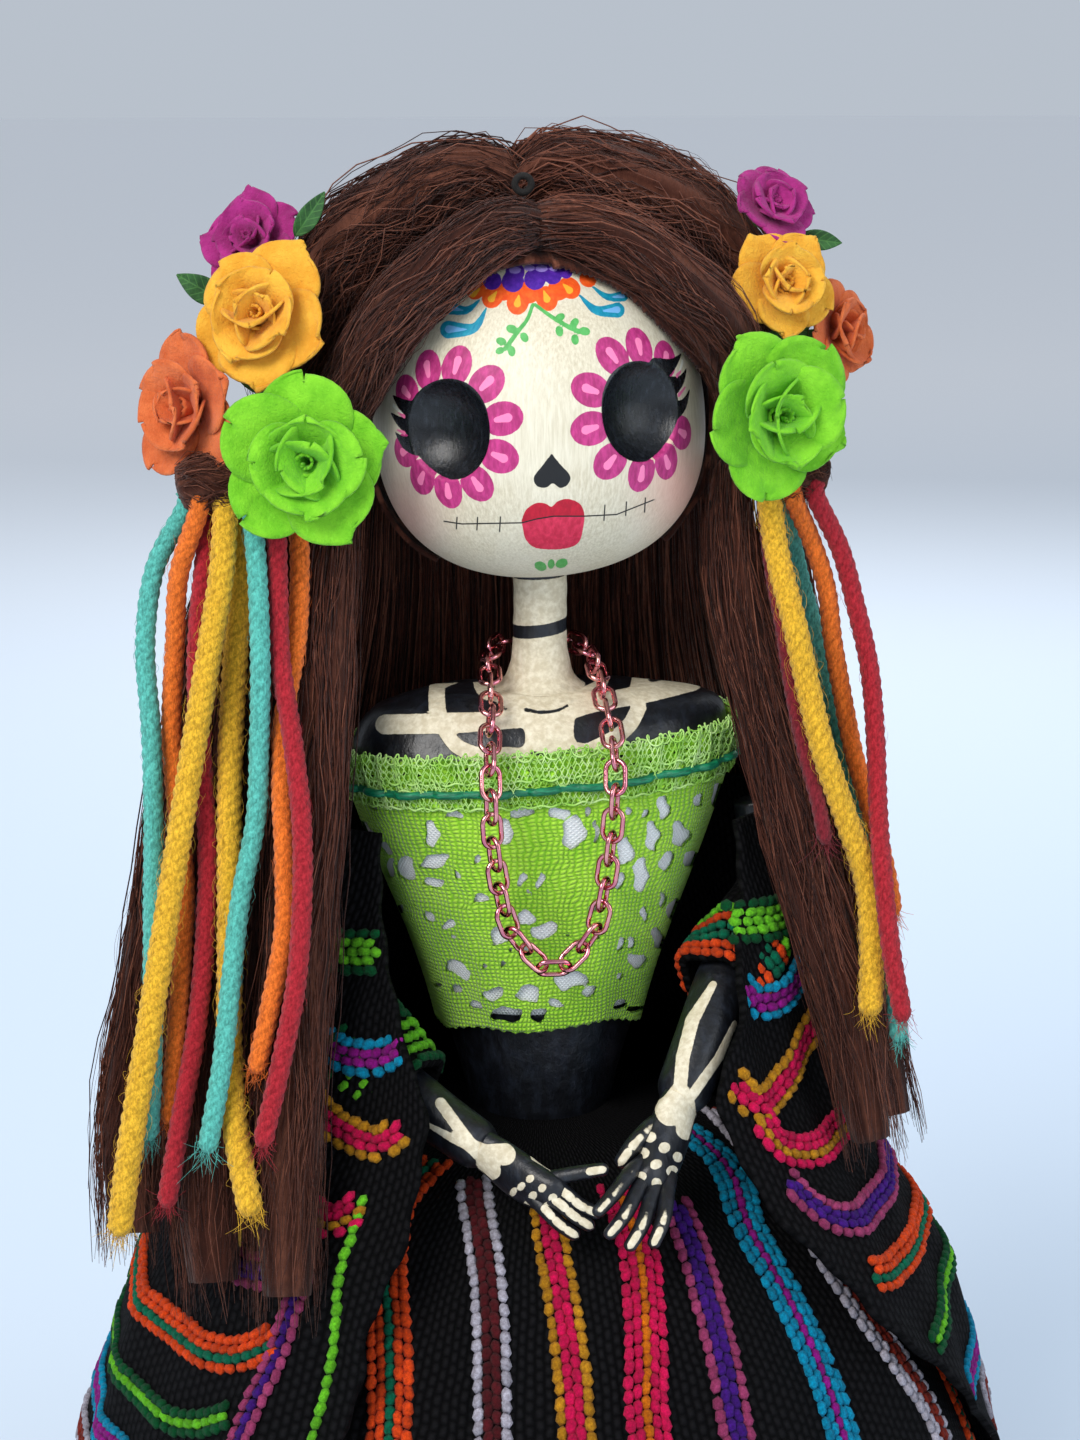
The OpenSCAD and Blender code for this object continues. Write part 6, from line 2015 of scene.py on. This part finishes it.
for k, degrees in enumerate(np.arange(98, 324, 24.0)):
    colours = [
        [PINK, PURPLE, PURPLE, PINK], [CYAN, CYAN, MAGENTA, CYAN, CYAN], [GOLD, HOT, HOT, GOLD],
        [RUST, RUST, TEAL, RUST, RUST], [HOT, HOT, AMBER, HOT, HOT]][k % 5]
    skirt_rows_of_stitches += stripe(
        skirt_point, skirt_route([(degrees, 34), (degrees + 1, 20), (degrees, 3)]), colours)
skirt_stitches = stitched("skirt_stitches", skirt_rows_of_stitches)


# %% Shawl stripes
def shawl_route(places):
    """Angles in degrees from the front and heights."""
    p = np.array(places, float)
    return np.stack([np.radians(p[:, 0]), p[:, 1]], -1)


def shawl_band(right, left, level, sag):
    """A stripe that goes all round: it leaves the right front, sags round the back and comes to the left
    front."""
    a, b = right[-1], left[0]
    round_back = [
        (
            a[0] + (b[0] - a[0]) * s,
            (
                a[1] * (1 - s) + b[1] * s
            ) * (1 - np.sin(np.pi * s)) + level * np.sin(np.pi * s) - sag * np.sin(3 * np.pi * s))
        for s in np.linspace(0, 1, 9)[1:-1]]
    return [*right, *round_back, *left]


FAR = 360.0
SHAWL_STRIPES = [
    (
        shawl_band(
            [(36, 136), (40, 131.5), (49, 131.5), (62, 136), (75, 139)],
            [(FAR - 75, 138), (FAR - 62, 134), (FAR - 50, 128.5), (FAR - 41, 127.5), (FAR - 35.5, 132)],
            137, 1),
        [GOLD, HOT, HOT, GOLD]),
    (
        shawl_band(
            [(40, 129.5), (43, 123.8), (52, 120.8), (66, 121), (80, 126)],
            [(FAR - 80, 124), (FAR - 64, 119.5), (FAR - 53, 117), (FAR - 45, 115.3), (FAR - 40, 119)], 125,
            1),
        [HOT, HOT, GOLD, HOT]),
    (
        shawl_band(
            [(40.5, 119), (46, 111.8), (58, 109), (76, 110), (90, 113)],
            [(FAR - 92, 112), (FAR - 74, 107.5), (FAR - 58, 105.5), (FAR - 46, 108)], 112, 1),
        [PINK, PURPLE, PURPLE, PINK]),
    (
        shawl_band(
            [(48, 102), (58, 99.3), (74, 99.3), (90, 102)],
            [(FAR - 100, 99), (FAR - 84, 92), (FAR - 66, 91.2), (FAR - 54, 92.6), (FAR - 46, 98.5)], 100, 1),
        [RUST, RUST, TEAL, RUST]),
    (
        shawl_band(
            [(57, 85.5), (69, 88.3), (82, 91), (98, 93)],
            [(FAR - 112, 86), (FAR - 95, 78.5), (FAR - 78, 78.8), (FAR - 60, 79), (FAR - 50, 85)], 88, 1),
        [GREEN, LIME, GREEN]),
    (
        shawl_band(
            [(66, 72), (80, 74), (98, 77)],
            [(FAR - 108, 72), (FAR - 92, 65), (FAR - 72, 67.5), (FAR - 56, 68)], 74, 1),
        [CYAN, MAGENTA, MAGENTA, CYAN]),
    (
        shawl_band([(76, 58), (92, 60)], [(FAR - 90, 55), (FAR - 66, 53), (FAR - 44, 55)], 60, 1),
        [WHITE, BRICK, BRICK, WHITE]),
    (
        shawl_band([(88, 43), (104, 45)], [(FAR - 90, 42), (FAR - 64, 41), (FAR - 40, 42)], 45, 1),
        [PINK, PURPLE, PURPLE, PINK]),
    (
        shawl_band(
            [(47.5, 150), (52, 146), (62, 146.5), (75, 149)],
            [(FAR - 75, 148), (FAR - 60, 142), (FAR - 47, 140.5), (FAR - 39, 144)], 150, 1),
        [CYAN, MAGENTA, MAGENTA, CYAN]),
    (
        shawl_band(
            [(51.5, 160), (58, 159.5), (67, 159), (78, 160)],
            [(FAR - 78, 160), (FAR - 64, 157), (FAR - 50.5, 157.5)], 161, 1),
        [GREEN, LIME, LIME, LIME, GREEN]),
    (
        [
            (FAR - 40.5, 120), (FAR - 39.5, 109), (FAR - 38.0, 101), (FAR - 37.5, 90), (FAR - 38.5, 70),
            (FAR - 39.5, 45)],
        [LIME]),
    ([(FAR - 45.5, 108), (FAR - 45.5, 96), (FAR - 47, 87), (FAR - 48, 78)], [PINK, PURPLE, PINK]),
]
shawl_rows_of_stitches = [
    row
    for places, colours in SHAWL_STRIPES
    for row in stripe(lambda a, z: shawl_point(a, z, 0.1), shawl_route(places), colours)]
half = len(shawl_rows_of_stitches) // 2
on_shawl = [
    stitched("shawl_stitches_low", shawl_rows_of_stitches[:half]),
    stitched("shawl_stitches_high", shawl_rows_of_stitches[half:])]

# %% Cuffs round the forearms
CUFFS = {
    "left": (
        [
            (-43, -5, 150, 7.0), (-40.5, -12, 144, 9.2), (-34.5, -20.4, 137.4, 9.6),
            (-25.8, -27.2, 131.8, 7.8)],
        [GREEN, LIME, LIME, LIME, GREEN, GREEN]),
    "right": (
        [
            (42.5, -3.5, 160, 6.8), (39.5, -8.4, 155, 8.2), (34.4, -14.6, 151.0, 8.6),
            (29.6, -20.2, 147.0, 7.9)],
        [RUST, RUST, TEAL, TEAL, RUST, LIME])}
for side, (rows, colours) in CUFFS.items():
    line = spline(rows, 40)
    s, o = frames(line[None, :, :3], (0.1, 0.3, 1.0))

    def cuff_point(turn, share, out=0.0, line=line, s=s[0], o=o[0]):
        """A point of the cuff: a rumpled ring round the forearm's line."""
        at = lambda table: np.stack(
            [np.interp(share, np.linspace(0, 1, 40), table[:, k]) for k in range(table.shape[1])], -1)
        mid, su, sv = at(line), at(s), at(o)
        r = (
            mid[..., 3] + 0.5 * np.sin(5 * turn + 6 * share) + 0.35 * np.sin(9 * share + 2 * turn) + out
        )[..., None]
        return mid[..., :3] + r * (np.cos(turn)[..., None] * su + np.sin(turn)[..., None] * sv)

    cuff_turn, cuff_share = np.linspace(
        0, 2 * np.pi, 90, endpoint=False
    )[None] + np.zeros((34, 1)), np.linspace(0, 1, 34)[:, None] + np.zeros((1, 90))
    cuff = cuff_point(cuff_turn, cuff_share).reshape(-1, 3)
    cuff_piece = make_piece(
        f"shawl_cuff_{side}", cuff, grid_faces(34, 90, wrap=True), woven_black,
        uv=np.stack([cuff_turn.ravel() * 7, cuff_share.ravel() * 24], -1))
    thicken(cuff_piece, 1.3, -1.0)
    girdle = np.linspace(0, 2 * np.pi, 60)
    on_shawl += [
        cuff_piece,
        stitched(
            f"shawl_cuff_stitches_{side}",
            [
                row
                for k, colour in enumerate(colours)
                for row in stripe(
                    lambda a, b: cuff_point(a, b, 0.1),
                    np.stack([girdle, 0.97 - 0.075 * k + 0 * girdle], -1), [colour])])]
